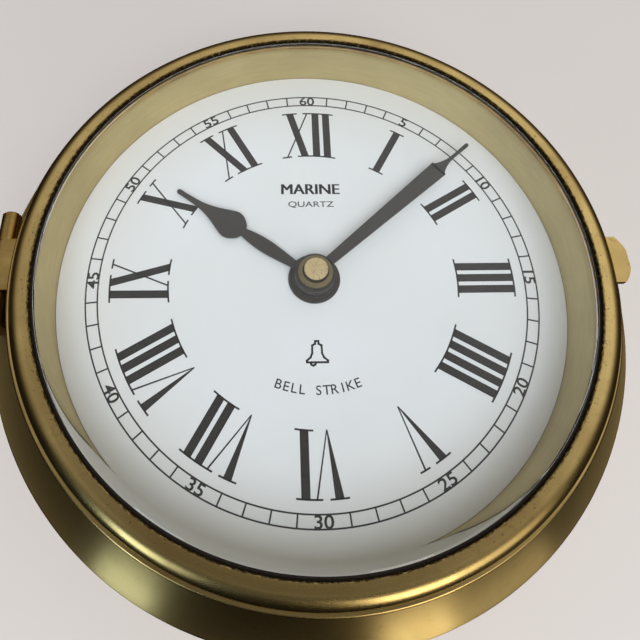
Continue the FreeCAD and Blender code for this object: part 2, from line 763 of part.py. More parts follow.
def bush_nut():
    """Hexagon nut on the bush, between base plate and dial."""
    hexagon = [polar(BUSH_NUT_R, 60.0 * index) for index in range(6)]
    return plate(hexagon, SHOULDER_Z, SHOULDER_Z + BUSH_NUT_H).cut(cyl(BUSH_R, 0, GLASS_TOP_Z))


CANNON_PHASE = 0.0
MINUTE_WHEEL_PHASE = mesh_phase(36, MINUTE_WHEEL_AT, 12, (0.0, 0.0), CANNON_PHASE)
HOUR_WHEEL_PHASE = 0.0
MINUTE_PINION_PHASE = mesh_phase(10, MINUTE_WHEEL_AT, 40, (0.0, 0.0), HOUR_WHEEL_PHASE)
CENTRE_PHASE = 0.0
THIRD_PINION_PHASE = mesh_phase(8, THIRD_AT, 64, (0.0, 0.0), CENTRE_PHASE)
THIRD_WHEEL_PHASE = 0.0
ROTOR_PINION_PHASE = mesh_phase(8, ROTOR_AT, 60, THIRD_AT, THIRD_WHEEL_PHASE)
STEM_PINION_PHASE = mesh_phase(12, STEM_AT, 36, MINUTE_WHEEL_AT, MINUTE_WHEEL_PHASE)


def centre_arbor():
    """Arbor of the minute hand, running in the hour pipe, with the cannon pinion cut on it."""
    shaft = cyl(ARBOR_R, BEARING_Z1 + 0.2, MINUTE_HAND_Z + HAND_T + 1.0)
    pivot = cyl(CENTRE_PIVOT_R, BEARING_Z0 + 0.2, BEARING_Z1 + 0.2)
    pinion = gear(12, CANNON_MODULE, 28.2, 30.4, (0.0, 0.0), CANNON_PHASE)
    return fused([shaft, pivot, pinion])


def centre_wheel():
    """Centre wheel on a hub pressed on the arbor."""
    rim = gear(64, CENTRE_MODULE, 25.0, 26.2, (0.0, 0.0), CENTRE_PHASE)
    hub = cyl(3.4, 24.2, 26.9)
    wheel = crossed_out(rim, (0.0, 0.0), 4.6, 10.6, SPOKES)
    return wheel.fuse(hub).cut(cyl(ARBOR_R, 0, GLASS_TOP_Z)).removeSplitter()


def crossed_out(wheel, at, inner, outer, arms):
    """Open the wheel's web into spokes."""
    ring = tube(inner, outer, 0, GLASS_TOP_Z, at)
    for index in range(arms):
        dx, dy = polar(outer + 1, index * 360.0 / arms)
        spoke = plate(spoke_points(at, (at[0] + dx, at[1] + dy), 1.0), 0, GLASS_TOP_Z)
        ring = ring.cut(spoke)
    return wheel.cut(ring)


def spoke_points(start, end, half):
    dx = end[0] - start[0]
    dy = end[1] - start[1]
    length = math.hypot(dx, dy)
    nx = -dy / length * half
    ny = dx / length * half
    return [
        (start[0] + nx, start[1] + ny),
        (end[0] + nx, end[1] + ny),
        (end[0] - nx, end[1] - ny),
        (start[0] - nx, start[1] - ny),
    ]


def hour_wheel():
    """Hour wheel and its pipe, which runs in the bush and carries the hour hand."""
    rim = gear(40, HOUR_MODULE, 32.2, 33.6, (0.0, 0.0), HOUR_WHEEL_PHASE)
    wheel = crossed_out(rim, (0.0, 0.0), 4.2, 8.2, SPOKES)
    pipe = cyl(PIPE_R, 32.2, MINUTE_HAND_Z - HUB_GAP)
    return wheel.fuse(pipe).cut(cyl(PIPE_BORE_R, 0, GLASS_TOP_Z)).removeSplitter()


def minute_wheel():
    """Wheel driven by the cannon pinion, with the pinion that drives the hour wheel."""
    rim = gear(36, CANNON_MODULE, 28.4, 29.8, MINUTE_WHEEL_AT, MINUTE_WHEEL_PHASE)
    wheel = crossed_out(rim, MINUTE_WHEEL_AT, 3.4, 7.2, SPOKES)
    pinion = gear(10, HOUR_MODULE, 29.8, 34.0, MINUTE_WHEEL_AT, MINUTE_PINION_PHASE)
    bore = cyl(STUD_R + 0.04, 0, GLASS_TOP_Z, MINUTE_WHEEL_AT)
    return wheel.fuse(pinion).cut(bore).removeSplitter()


def minute_wheel_stud():
    """Headed stud in the front wall on which the minute wheel turns."""
    return fused([
        cyl(STUD_R, 27.3, HOUSING_Z1 - 0.6, MINUTE_WHEEL_AT),
        cyl(1.7, 27.3, 28.2, MINUTE_WHEEL_AT),
    ])


def third_wheel():
    """Wheel between the rotor's pinion and the centre wheel, with its own pinion and arbor."""
    rim = gear(60, ROTOR_MODULE, 21.0, 22.2, THIRD_AT, THIRD_WHEEL_PHASE)
    wheel = crossed_out(rim, THIRD_AT, 3.4, 8.6, SPOKES)
    pinion = gear(8, CENTRE_MODULE, 22.2, 27.0, THIRD_AT, THIRD_PINION_PHASE)
    arbor = cyl(0.8, BEARING_Z1 + 0.2, HOUSING_Z1 - HOUSING_WALL - 0.2, THIRD_AT)
    pivots = cyl(PIVOT_R, BEARING_Z0 + 0.2, PIVOT_END_Z, THIRD_AT)
    return fused([wheel, pinion, arbor, pivots])


def rotor():
    """Magnet rotor of the stepping motor with its pinion."""
    magnet = cyl(4.6, 13.6, 16.0, ROTOR_AT)
    pinion = gear(8, ROTOR_MODULE, 20.4, 22.8, ROTOR_AT, ROTOR_PINION_PHASE)
    arbor = cyl(PIVOT_R, HOUSING_Z0 + 0.7, PIVOT_END_Z, ROTOR_AT)
    return fused([magnet, pinion, arbor])


def setting_stem():
    """Hand-setting stem with its pinion, reached from the back."""
    pinion = gear(12, CANNON_MODULE, 28.0, 30.2, STEM_AT, STEM_PINION_PHASE)
    stem = cyl(STEM_R, 2.2, HOUSING_Z1 - HOUSING_WALL - 0.2, STEM_AT)
    pivot = cyl(STEM_PIVOT_R, 30.0, PIVOT_END_Z, STEM_AT)
    return fused([pinion, stem, pivot])


def set_knob():
    """Ribbed setting knob recessed in the back."""
    knob = cyl(KNOB_R, *KNOB_Z, STEM_AT)
    ribs = []
    for index in range(KNOB_RIBS):
        dx, dy = polar(KNOB_R + 0.3, index * 360.0 / KNOB_RIBS)
        ribs.append(cyl(0.7, 0, KNOB_Z[1] - 1.0, (STEM_AT[0] + dx, STEM_AT[1] + dy)))
    groove = tube(5.2, 6.4, 0, KNOB_Z[0] + 0.5, STEM_AT)
    return cut_all(knob, ribs + [groove, cyl(STEM_R, 2.2, 8, STEM_AT)])


def stator():
    """Laminated yoke round the rotor, with a bridge that passes through the coil."""
    legs = [
        box(-44.0, -16.0, -3.0, 9.4, STATOR_Z0, STATOR_Z1),
        box(-44.0, -40.0, 9.0, 22.4, STATOR_Z0, STATOR_Z1),
        box(-20.0, -16.0, 9.0, 22.4, STATOR_Z0, STATOR_Z1),
        box(*COIL_BRIDGE, STATOR_Z0, STATOR_Z1),
    ]
    return fused(legs).cut(cyl(5.2, 0, 30, ROTOR_AT))


def coil_bar(radius, x0, x1):
    return rod(radius, (x0, COIL_AXIS[0], COIL_AXIS[1]), (x1, COIL_AXIS[0], COIL_AXIS[1]))


def coil_bobbin():
    x0, x1 = COIL_X
    core = coil_bar(COIL_CORE_R, x0, x1)
    flanges = [
        coil_bar(COIL_FLANGE_R, x0, x0 + COIL_FLANGE_T),
        coil_bar(COIL_FLANGE_R, x1 - COIL_FLANGE_T, x1),
    ]
    return fused([core] + flanges).cut(box(*COIL_BRIDGE, STATOR_Z0, STATOR_Z1))


def coil_winding():
    x0, x1 = COIL_X
    wire = coil_bar(COIL_WIRE_R, x0 + COIL_FLANGE_T, x1 - COIL_FLANGE_T)
    return wire.cut(coil_bar(COIL_CORE_R, x0 - 1, x1 + 1))


def circuit_board():
    board = box(*BOARD_OUTLINE, BOARD_Z0, BOARD_Z1)
    holes = [cyl(0.9, BOARD_Z0 - 1, BOARD_Z1 + 1, at) for at in BOARD_HOLES_AT]
    return cut_all(board, holes)


def chips():
    """Timekeeping chip and the chip that counts the bells."""
    bodies = []
    for x in CHIPS_X:
        body = box(x - 5, x + 5, 22.8, 29.2, BOARD_Z1, BOARD_Z1 + 2.2)
        legs_x = [x + dx for dx in (-4.0, -1.5, 1.0, 3.5)]
        legs = [box(leg_x, leg_x + 0.5, 21.2, 30.8, BOARD_Z1, BOARD_Z1 + 0.3) for leg_x in legs_x]
        bodies.append(fused([body] + legs))
    return group(bodies)


def quartz_crystal():
    """Crystal can lying on the board, with its two wires."""
    y = CRYSTAL_Y
    can_start, can_end = CRYSTAL_X
    can = rod(CRYSTAL_R, (can_start, y, BOARD_Z1 + 1.6), (can_end, y, BOARD_Z1 + 1.6))
    top = BOARD_Z1 + 1.7
    wires = [box(can_end, -23.8, y + dy - 0.15, y + dy + 0.15, BOARD_Z1, top) for dy in (-0.45, 0.45)]
    return fused([can] + wires)


def battery():
    """Single C-size cell lying across the bay."""
    end = CELL_LEN / 2

    def along(radius, x0, x1):
        return rod(radius, (x0, CELL_Y, CELL_Z), (x1, CELL_Y, CELL_Z))

    can = along(CELL_R, -end + CELL_FOOT, end - CELL_NUB)
    foot = along(CELL_R - 2.5, -end, -end + CELL_FOOT)
    nub = along(CELL_NUB_R, end - CELL_NUB, end)
    return fused([can, foot, nub])


def battery_contacts():
    """Sprung plate at each end of the cell."""
    half = CELL_LEN / 2
    starts = (-half - CONTACT_T, half)
    return group([box(x, x + CONTACT_T, CELL_Y - 7, CELL_Y + 7, 14.0, 31.0) for x in starts])


def contact_carriers():
    """Moulded blocks that hold the contact plates off the housing."""
    inner = CELL_LEN / 2 + CONTACT_T
    low = HOUSING_Z0 + HOUSING_WALL
    high = HOUSING_Z1 - HOUSING_WALL
    spans = ((-CARRIER_X, -inner), (inner, CARRIER_X))
    return [box(x0, x1, CELL_Y - 8, CELL_Y + 8, low, high) for x0, x1 in spans]


# ---------------------------------------------------------------- controls

def switch_housing():
    """Small sliding-switch body on the back of the movement."""
    x, y = SWITCH_AT
    body = box(x - 7, x + 12, y - 4.5, y + 4.5, 5.2, HOUSING_Z0)
    chamber = box(x - 5.2, x + 10.2, y - 3.2, y + 3.2, 5.9, 7.6)
    mouth = box(x - 2.6, x + 7.6, y - 1.9, y + 1.9, 4, 7)
    return cut_all(body, [chamber, mouth])


def strike_switch():
    """Slide that turns the bell strike on and off."""
    x, y = SWITCH_AT
    carriage = box(x - 4.2, x + 4.2, y - 3.0, y + 3.0, 6.1, 7.4)
    finger = box(x - 1.8, x + 1.8, y - 1.7, y + 1.7, 0.5, 6.2)
    grip = [box(x + dx - 0.3, x + dx + 0.3, y - 2, y + 2, 0, 0.9) for dx in (-1.0, 0.0, 1.0)]
    return cut_all(carriage.fuse(finger).removeSplitter(), grip)


def test_button():
    """Push button that makes the clock strike the current bells."""
    return fused([
        cyl(2.5, 0.4, 2.0, BUTTON_AT),
        cyl(3.6, 1.7, 2.7, BUTTON_AT),
        cyl(1.2, 2.7, 6.6, BUTTON_AT),
    ])


def button_housing():
    """Contact block behind the test button."""
    x, y = BUTTON_AT
    body = box(x - 5, x + 5, y - 5, y + 5, 6.3, HOUSING_Z0)
    return body.cut(cyl(1.3, 6.0, 8.4, BUTTON_AT))


def helix_spring(wire_r, radius, pitch, height, at, z0):
    spine = Part.makeHelix(pitch, height, radius)
    section = Part.Wire(Part.Circle(Vector(radius, 0, 0), Vector(0, 1, 0), wire_r).toShape())
    coil = Part.Wire(spine).makePipeShell([section], True, True)
    coil.translate(Vector(at[0], at[1], z0))
    return coil


def button_spring():
    return helix_spring(0.25, 1.9, 0.75, 3.0, BUTTON_AT, 2.98)


# ---------------------------------------------------------------- strike

def bell():
    """Spun bell with its crown towards the dial and its mouth to the back."""
    shell = lathe(
        (2.1, BELL_CROWN_Z),
        (9.0, BELL_CROWN_Z),
        ((16.4, BELL_CROWN_Z - 2.6), (20.0, BELL_CROWN_Z - 8.6)),
        ((21.3, BELL_MOUTH_Z + 3.6), (BELL_R, BELL_MOUTH_Z)),
        (BELL_R - 1.5, BELL_MOUTH_Z),
        ((19.7, BELL_MOUTH_Z + 3.9), (18.4, BELL_CROWN_Z - 9.2)),
        ((15.2, BELL_CROWN_Z - 3.9), (8.8, BELL_CROWN_Z - 1.5)),
        (2.1, BELL_CROWN_Z - 1.5),
    )
    shell.translate(Vector(0, BELL_Y, 0))
    return shell


def bell_post():
    at = (0.0, BELL_Y)
    low = SHOULDER_Z - PLATE_T
    shoulder = cyl(BELL_POST_R + 1.1, BELL_CROWN_Z, low, at)
    return shoulder.fuse(cyl(BELL_POST_R, BELL_CROWN_Z - 6.0, low, at)).removeSplitter()


def bell_nut():
    hexagon = []
    for index in range(6):
        x, y = polar(BELL_NUT_R, 60.0 * index)
        hexagon.append((x, y + BELL_Y))
    low = BELL_CROWN_Z - 4.4
    return plate(hexagon, low, BELL_CROWN_Z - 1.5).cut(cyl(BELL_POST_R, 0, GLASS_TOP_Z, (0.0, BELL_Y)))


def hammer_post():
    """Fixed pivot post of the hammer lever, with a shoulder below the lever."""
    low = SHOULDER_Z - PLATE_T
    return fused([
        cyl(LEVER_POST_R, HAMMER_Z - 2.6, low, LEVER_PIVOT),
        cyl(3.0, HAMMER_Z + 2.2, low, LEVER_PIVOT),
        cyl(2.4, HAMMER_Z - 3.4, HAMMER_Z - 2.2, LEVER_PIVOT),
    ])


def hammer_lever():
    """Flat two-armed lever on a sleeve."""
    z0 = HAMMER_Z - LEVER_HALF_T
    z1 = HAMMER_Z + LEVER_HALF_T
    arms = [
        plate(spoke_points(LEVER_PIVOT, HAMMER_HEAD, LEVER_HALF_W), z0, z1),
        plate(spoke_points(LEVER_PIVOT, LEVER_TAIL, LEVER_HALF_W), z0, z1),
        cyl(3.2, HAMMER_Z - 2.0, HAMMER_Z + 2.0, LEVER_PIVOT),
        cyl(LEVER_HALF_W, z0, z1, LEVER_TAIL),
        cyl(LEVER_HALF_W + 0.6, z0, z1, HAMMER_HEAD),
    ]
    return fused(arms).cut(cyl(LEVER_POST_R + 0.04, 0, GLASS_TOP_Z, LEVER_PIVOT))


def hammer_head():
    """Brass head with a round nose, riveted to the lever."""
    x, y = HAMMER_HEAD
    z = HAMMER_Z + 4.0
    nose = Part.makeSphere(HEAD_R, Vector(x - 2.0, y, z))
    body = rod(HEAD_R, (x - 2.0, y, z), (x + 4.0, y, z)).fuse(nose)
    stud = cyl(1.4, HAMMER_Z + LEVER_HALF_T, z - 1.0, HAMMER_HEAD)
    return fused([body, stud])


def plunger_rod(radius, y0, y1):
    """Round bar on the solenoid's axis."""
    return rod(radius, (PLUNGER_X, y0, HAMMER_Z), (PLUNGER_X, y1, HAMMER_Z))


def plunger_bore():
    return plunger_rod(PLUNGER_BORE_R, 0, SOLENOID_Y1 + 1)


def solenoid_frame():
    """Folded steel yoke hung from the base plate."""
    x0, x1 = PLUNGER_X - SOLENOID_HALF, PLUNGER_X + SOLENOID_HALF
    z0, z1 = HAMMER_Z - SOLENOID_HALF, HAMMER_Z + SOLENOID_HALF
    y0, y1 = SOLENOID_Y0, SOLENOID_Y1
    outer = box(x0, x1, y0, y1, z0, z1)
    inner = box(x0 - 1, x1 + 1, y0 + YOKE_T, y1 - YOKE_T, z0 + YOKE_T, z1 - YOKE_T)
    bracket = box(x0 + 2, x1 - 2, y0, y0 + YOKE_T, z1 - 1, SHOULDER_Z - PLATE_T)
    return fused([outer.cut(inner), bracket]).cut(plunger_bore())


def solenoid_bobbin():
    y0 = SOLENOID_Y0 + YOKE_T
    y1 = SOLENOID_Y1 - YOKE_T
    core = plunger_rod(SOLENOID_CORE_R, y0, y1)
    flanges = [
        plunger_rod(SOLENOID_FLANGE_R, y0, y0 + SOLENOID_FLANGE_T),
        plunger_rod(SOLENOID_FLANGE_R, y1 - SOLENOID_FLANGE_T, y1),
    ]
    return fused([core] + flanges).cut(plunger_bore())


def solenoid_winding():
    end = YOKE_T + SOLENOID_FLANGE_T
    wire = plunger_rod(SOLENOID_WIRE_R, SOLENOID_Y0 + end, SOLENOID_Y1 - end)
    return wire.cut(plunger_rod(SOLENOID_CORE_R, 0, SOLENOID_Y1))


def solenoid_plunger():
    """Plunger with a domed tip that pushes the lever's tail, and a clip that stops it falling out."""
    tip_y = LEVER_TAIL[1] - LEVER_HALF_W - 0.12
    clip_y = SOLENOID_Y0 - PLUNGER_STROKE - 1.2
    shoulder_y = SOLENOID_Y1 - 4.0
    body = plunger_rod(PLUNGER_R, clip_y, shoulder_y)
    pusher = plunger_rod(PUSHER_R, shoulder_y, tip_y - 0.6)
    dome = Part.makeSphere(PUSHER_R, Vector(PLUNGER_X, tip_y - PUSHER_R, HAMMER_Z))
    clip = plunger_rod(4.2, clip_y, clip_y + 0.8)
    return fused([body, pusher, dome, clip])


def main():
    nodes = {
        "case_drum": case_drum(),
        "case_front": case_front(),
        "case_lugs": case_lugs(),
        "case_back": case_back(),
        "back_screws": back_screws(),
        "battery_door": battery_door(),
        "base_plate": base_plate(),
        "plate_screws": plate_screws(),
        "dial": dial(),
        "dial_feet": dial_feet(),
        "dial_surround": dial_surround(),
        "bezel_ring": bezel_ring(),
        "glass": glass(),
        "glass_gasket": glass_gasket(),
        "glass_retainer": glass_retainer(),
        "hinge_leaf_case": hinge_leaf_case(),
        "hinge_leaf_bezel": hinge_leaf_bezel(),
        "hinge_pin": hinge_pin(),
        "finger_tab": finger_tab(),
        "minute_hand": minute_hand(),
        "hour_hand": hour_hand(),
        "hour_boss": hour_boss(),
        "hand_nut": hand_nut(),
        "movement_housing": movement_housing(),
        "movement_back": movement_back(),
        "movement_screws": movement_screws(),
        "bearing_plate": bearing_plate(),
        "pillars": pillars(),
        "center_bush": center_bush(),
        "bush_nut": bush_nut(),
        "centre_arbor": centre_arbor(),
        "centre_wheel": centre_wheel(),
        "hour_wheel": hour_wheel(),
        "minute_wheel": minute_wheel(),
        "minute_wheel_stud": minute_wheel_stud(),
        "third_wheel": third_wheel(),
        "rotor": rotor(),
        "setting_stem": setting_stem(),
        "set_knob": set_knob(),
        "stator": stator(),
        "coil_bobbin": coil_bobbin(),
        "windings": group([coil_winding(), solenoid_winding()]),
        "circuit_board": circuit_board(),
        "chips": chips(),
        "quartz_crystal": quartz_crystal(),
        "battery": battery(),
        "battery_contacts": battery_contacts(),
        "control_housings": group([switch_housing(), button_housing()]),
        "strike_switch": strike_switch(),
        "test_button": test_button(),
        "button_spring": button_spring(),
        "bell": bell(),
        "bell_post": bell_post(),
        "bell_nut": bell_nut(),
        "hammer_post": hammer_post(),
        "hammer_lever": hammer_lever(),
        "hammer_head": hammer_head(),
        "solenoid_frame": solenoid_frame(),
        "solenoid_bobbin": solenoid_bobbin(),
        "solenoid_plunger": solenoid_plunger(),
    }
    for name, shape in nodes.items():
        save(name, shape)


main()
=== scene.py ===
import json
import math

import bmesh
import bpy
from mathutils import Matrix, Vector


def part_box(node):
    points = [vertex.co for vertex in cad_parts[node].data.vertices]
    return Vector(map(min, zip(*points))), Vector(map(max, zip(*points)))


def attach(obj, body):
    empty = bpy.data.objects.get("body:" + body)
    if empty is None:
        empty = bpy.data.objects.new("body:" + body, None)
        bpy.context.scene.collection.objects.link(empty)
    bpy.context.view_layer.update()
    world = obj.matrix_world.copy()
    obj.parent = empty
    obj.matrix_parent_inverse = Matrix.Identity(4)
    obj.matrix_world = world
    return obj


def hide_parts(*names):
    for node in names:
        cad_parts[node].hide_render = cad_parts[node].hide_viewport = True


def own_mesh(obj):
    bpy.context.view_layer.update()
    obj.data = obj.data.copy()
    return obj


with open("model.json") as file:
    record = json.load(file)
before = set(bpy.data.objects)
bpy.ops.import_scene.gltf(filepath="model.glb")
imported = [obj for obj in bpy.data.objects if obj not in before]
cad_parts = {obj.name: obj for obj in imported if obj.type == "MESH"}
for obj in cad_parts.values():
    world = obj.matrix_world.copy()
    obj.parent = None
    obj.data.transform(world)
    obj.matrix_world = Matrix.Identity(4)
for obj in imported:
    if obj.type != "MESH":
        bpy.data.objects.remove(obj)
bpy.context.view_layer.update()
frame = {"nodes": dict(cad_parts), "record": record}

MM = 0.001
TURN = 2 * math.pi

# Radii, heights and thicknesses of the turned pieces, in millimetres, following the CAD.
DRUM_R = 89.0
DRUM_IN_R = 87.1
DRUM_CHAMFER = 0.4
SEAM_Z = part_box("case_drum")[1].z / MM
EDGE_Z = 40.3
SHOULDER_R = 85.0
SHOULDER_Z = 38.8
NECK_R = 77.0
NECK_IN_R = 73.3
NECK_TOP_Z = 55.3
MOUTH_R = NECK_IN_R - 0.9
RING_GAP = 0.1
DIAL_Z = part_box("dial")[1].z / MM
DIAL_R = 70.2
DIAL_T = 0.8
DIAL_ARRIS = 0.1
BUSH_R = 4.2
BEZEL_BASE_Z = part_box("bezel_ring")[0].z / MM
LIP_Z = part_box("bezel_ring")[1].z / MM
LIP_R = 71.45
LIP_FLAT_R = 73.3
TORUS_R = 4.1
BEZEL_R = 78.6
GLASS_R = 70.5
GLASS_BASE_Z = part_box("glass")[0].z / MM
GLASS_TOP_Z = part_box("glass")[1].z / MM
GLASS_BEVEL = 0.7
GLASS_FLAT_R = 68.0
GLASS_CHAMFER = 0.3
GLASS_ARRIS = 0.1
HOUR_HAND_Z = 43.4
MINUTE_HAND_Z = 46.7
HAND_T = 0.5
HAND_BEVEL = 0.12
MINUTE_AZIMUTH = 49.3
HOUR_AZIMUTH = 305.0


# ---------------------------------------------------------------- materials

# Sockets of the colour mix node.
MIX_AMOUNT, MIX_A, MIX_B, MIX_RESULT = 0, 6, 7, 2

# Where a cloud noise starts and ends mixing in the second colour.
CLOUD_STOPS = [(0.3, 0.0), (0.75, 1.0)]


class Shader:
    """Small helper for building a node material."""

    def __init__(self, name):
        self.material = bpy.data.materials.new(name)
        self.material.use_nodes = True
        self.tree = self.material.node_tree
        self.tree.nodes.clear()
        self.output = self.add("ShaderNodeOutputMaterial")
        self.surface = self.add("ShaderNodeBsdfPrincipled")
        self.link(self.surface.outputs[0], self.output.inputs[0])
        self.place = self.add("ShaderNodeTexCoord").outputs["Object"]

    def add(self, kind, **settings):
        node = self.tree.nodes.new(kind)
        for key, value in settings.items():
            setattr(node, key, value)
        return node

    def link(self, source, target):
        self.tree.links.new(source, target)

    def feed(self, socket, value):
        if isinstance(value, (int, float, tuple)):
            socket.default_value = value
        else:
            self.link(value, socket)

    def math(self, operation, a, b=0.0):
        node = self.add("ShaderNodeMath", operation=operation)
        for socket, value in zip(node.inputs, (a, b)):
            self.feed(socket, value)
        return node.outputs[0]

    def plus(self, a, b):
        return self.math("ADD", a, b)

    def times(self, a, b):
        return self.math("MULTIPLY", a, b)

    def combine(self, x, y, z):
        node = self.add("ShaderNodeCombineXYZ")
        for socket, value in zip(node.inputs, (x, y, z)):
            self.feed(socket, value)
        return node.outputs[0]

    def split(self, vector):
        node = self.add("ShaderNodeSeparateXYZ")
        self.link(vector, node.inputs[0])
        return node.outputs

    def polar(self):
        """Radius, angle and height of the surface point about the dial's axis."""
        x, y, z = self.split(self.place)
        radius = self.math("SQRT", self.plus(self.times(x, x), self.times(y, y)))
        return radius, self.math("ARCTAN2", y, x), z

    def noise(self, vector, scale, detail=4.0, roughness=0.55, distortion=0.0):
        node = self.add("ShaderNodeTexNoise")
        self.link(vector, node.inputs["Vector"])
        node.inputs["Scale"].default_value = scale
        node.inputs["Detail"].default_value = detail
        node.inputs["Roughness"].default_value = roughness
        node.inputs["Distortion"].default_value = distortion
        return node.outputs["Fac"]

    def streaks(self, radius, angle, across, along, scale, detail, roughness=0.55):
        """Noise about the dial's axis, scaled by one factor across and another along the turning."""
        place = self.combine(self.times(radius, across), self.times(angle, along), 0.0)
        return self.noise(place, scale, detail, roughness)

    def ramp(self, value, stops):
        """Grey steps: each stop is a (position, brightness) pair."""
        node = self.add("ShaderNodeValToRGB")
        elements = node.color_ramp.elements
        while len(elements) < len(stops):
            elements.new(0.5)
        for element, (position, grey) in zip(elements, stops):
            element.position = position
            element.color = (grey, grey, grey, 1)
        self.feed(node.inputs[0], value)
        return node.outputs[0]

    def remap(self, value, low, high, to_low, to_high):
        node = self.add("ShaderNodeMapRange")
        for key, number in (("From Min", low), ("From Max", high), ("To Min", to_low), ("To Max", to_high)):
            node.inputs[key].default_value = number
        self.link(value, node.inputs["Value"])
        return node.outputs["Result"]

    def vary(self, noise, to_low, to_high):
        """Spreads the middle range of a noise over the given range."""
        return self.remap(noise, 0.3, 0.7, to_low, to_high)

    def mix(self, amount, a, b):
        node = self.add("ShaderNodeMix", data_type="RGBA")
        self.feed(node.inputs[MIX_AMOUNT], amount)
        self.feed(node.inputs[MIX_A], a)
        self.feed(node.inputs[MIX_B], b)
        return node.outputs[MIX_RESULT]

    def bump(self, height, distance, strength=1.0, after=None):
        node = self.add("ShaderNodeBump")
        node.inputs["Strength"].default_value = strength
        node.inputs["Distance"].default_value = distance
        self.link(height, node.inputs["Height"])
        if after is not None:
            self.link(after, node.inputs["Normal"])
        return node.outputs[0]

    def set(self, **values):
        for key, value in values.items():
            self.feed(self.surface.inputs[key.replace("_", " ")], value)


def rgb(r, g, b):
    """sRGB 0-255 to a linear colour."""
    def linear(c):
        c = c / 255
        return c / 12.92 if c <= 0.04045 else ((c + 0.055) / 1.055) ** 2.4
    return (linear(r), linear(g), linear(b), 1.0)


# Dark colour of the real grime on the bezel's lip and of the painted shade in the nut's groove.
GRIME_AND_SHADE = rgb(26, 14, 8)
# Stretch of the turning rings and of the finer ones among them, and how much finer those are.
RING_STRETCH = 0.004
FINE_STRETCH = 0.0012
FINE_RATIO = 4.5
FRECKLE_SHARE = 0.5
RING_TINT = 0.22
# What stain, fine rings, grime and painted shade add to the roughness.
STAIN_ROUGH = 0.16
FINE_ROUGH = 0.10
GRIME_AND_SHADE_ROUGH = 0.45


def turned_brass(name, light, dark, rough, ring_scale, ring_depth, tarnish, anisotropy=0.0, dirt_and_shade=None):
    """Brass turned or brushed round the dial's axis, with fine rings, patches of tarnish and freckles."""
    s = Shader(name)
    radius, angle, height = s.polar()
    ring_place = s.combine(radius, s.times(angle, RING_STRETCH), height)
    fine_place = s.combine(radius, s.times(angle, FINE_STRETCH), height)
    rings = s.noise(ring_place, ring_scale, detail=6.0, roughness=0.7)
    fine = s.noise(fine_place, ring_scale * FINE_RATIO, detail=3.0, roughness=0.6)
    patches = s.noise(s.place, 38.0, detail=5.0, roughness=0.6, distortion=0.4)
    spots = s.noise(s.place, 420.0, detail=3.0, roughness=0.5)
    age = s.ramp(patches, [(0.38, 0.0), (0.66, 1.0)])
    freckle = s.ramp(spots, [(0.62, 0.0), (0.74, 1.0)])
    stain = s.times(s.plus(age, s.times(freckle, FRECKLE_SHARE)), tarnish)
    colour = s.mix(stain, light, dark)
    colour = s.mix(s.times(rings, RING_TINT), colour, dark)
    wear = s.plus(s.times(stain, STAIN_ROUGH), s.times(fine, FINE_ROUGH))
    # Real grime on the lip; on the nut, also painted shade in its groove.
    if dirt_and_shade:
        grime = dirt_and_shade(s, radius, angle)
        colour = s.mix(grime, colour, GRIME_AND_SHADE)
        wear = s.plus(wear, s.times(grime, GRIME_AND_SHADE_ROUGH))
    s.set(Base_Color=colour, Metallic=1.0)
    s.set(Roughness=s.plus(wear, rough))
    s.set(Normal=s.bump(fine, ring_depth * 0.4, 0.6, s.bump(rings, ring_depth)))
    if anisotropy:
        tangent = s.add("ShaderNodeTangent", direction_type="RADIAL", axis="Z")
        s.link(tangent.outputs[0], s.surface.inputs["Tangent"])
        s.set(Anisotropic=anisotropy, Anisotropic_Rotation=0.25)
    return s.material


# Radii between which the grime on the bezel's lip fades out, and how far its border wanders, in metres.
LIP_GRIME_R = (LIP_R + 0.05) * MM
LIP_CLEAN_R = (LIP_R + 0.55) * MM
LIP_RAGGED = 0.0016
LIP_WORN_R = (LIP_FLAT_R + 0.2) * MM


def lip_dirt(s, radius, angle):
    """Dark grime along the lip's inner edge, with a ragged border, short radial scratches and specks."""
    ragged = s.streaks(radius, angle, across=3.0, along=0.07, scale=900.0, detail=4.0, roughness=0.7)
    edge = s.plus(radius, s.times(s.math("SUBTRACT", ragged, 0.5), LIP_RAGGED))
    grime = s.remap(edge, LIP_CLEAN_R, LIP_GRIME_R, 0.0, 0.92)
    scratch = s.streaks(radius, angle, across=0.25, along=0.073, scale=2400.0, detail=2.0)
    marks = s.ramp(scratch, [(0.66, 0.0), (0.74, 0.55)])
    speck = s.ramp(s.noise(s.place, 1500.0, detail=2.0, roughness=0.5), [(0.66, 0.0), (0.74, 0.7)])
    flat = s.math("LESS_THAN", radius, LIP_WORN_R)
    worn = s.times(s.math("MAXIMUM", marks, speck), flat)
    return s.math("MAXIMUM", grime, worn)


# Where the painted shade of the groove round the nut's cap and the browned collar outside it lie, in metres.
GROOVE_R = 3.45 * MM
GROOVE_HALF = 0.12 * MM
GROOVE_FADE = 0.34 * MM
COLLAR_START_R = 3.50 * MM
COLLAR_FULL_R = 3.65 * MM


def nut_dirt(s, radius, angle):
    """Painted shade in the groove round the nut's cap, a browned collar outside it and radial scratches on the
    cap.
    """
    from_groove = s.math("ABSOLUTE", s.math("SUBTRACT", radius, GROOVE_R))
    # Painted shade darkening the groove round the cap.
    groove = s.remap(from_groove, GROOVE_FADE, GROOVE_HALF, 0.0, 0.94)
    collar = s.remap(radius, COLLAR_START_R, COLLAR_FULL_R, 0.0, 0.62)
    scratch = s.streaks(radius, angle, across=0.3, along=0.006, scale=1500.0, detail=3.0)
    marks = s.ramp(scratch, [(0.54, 0.0), (0.66, 0.5)])
    return s.math("MAXIMUM", s.math("MAXIMUM", groove, collar), marks)


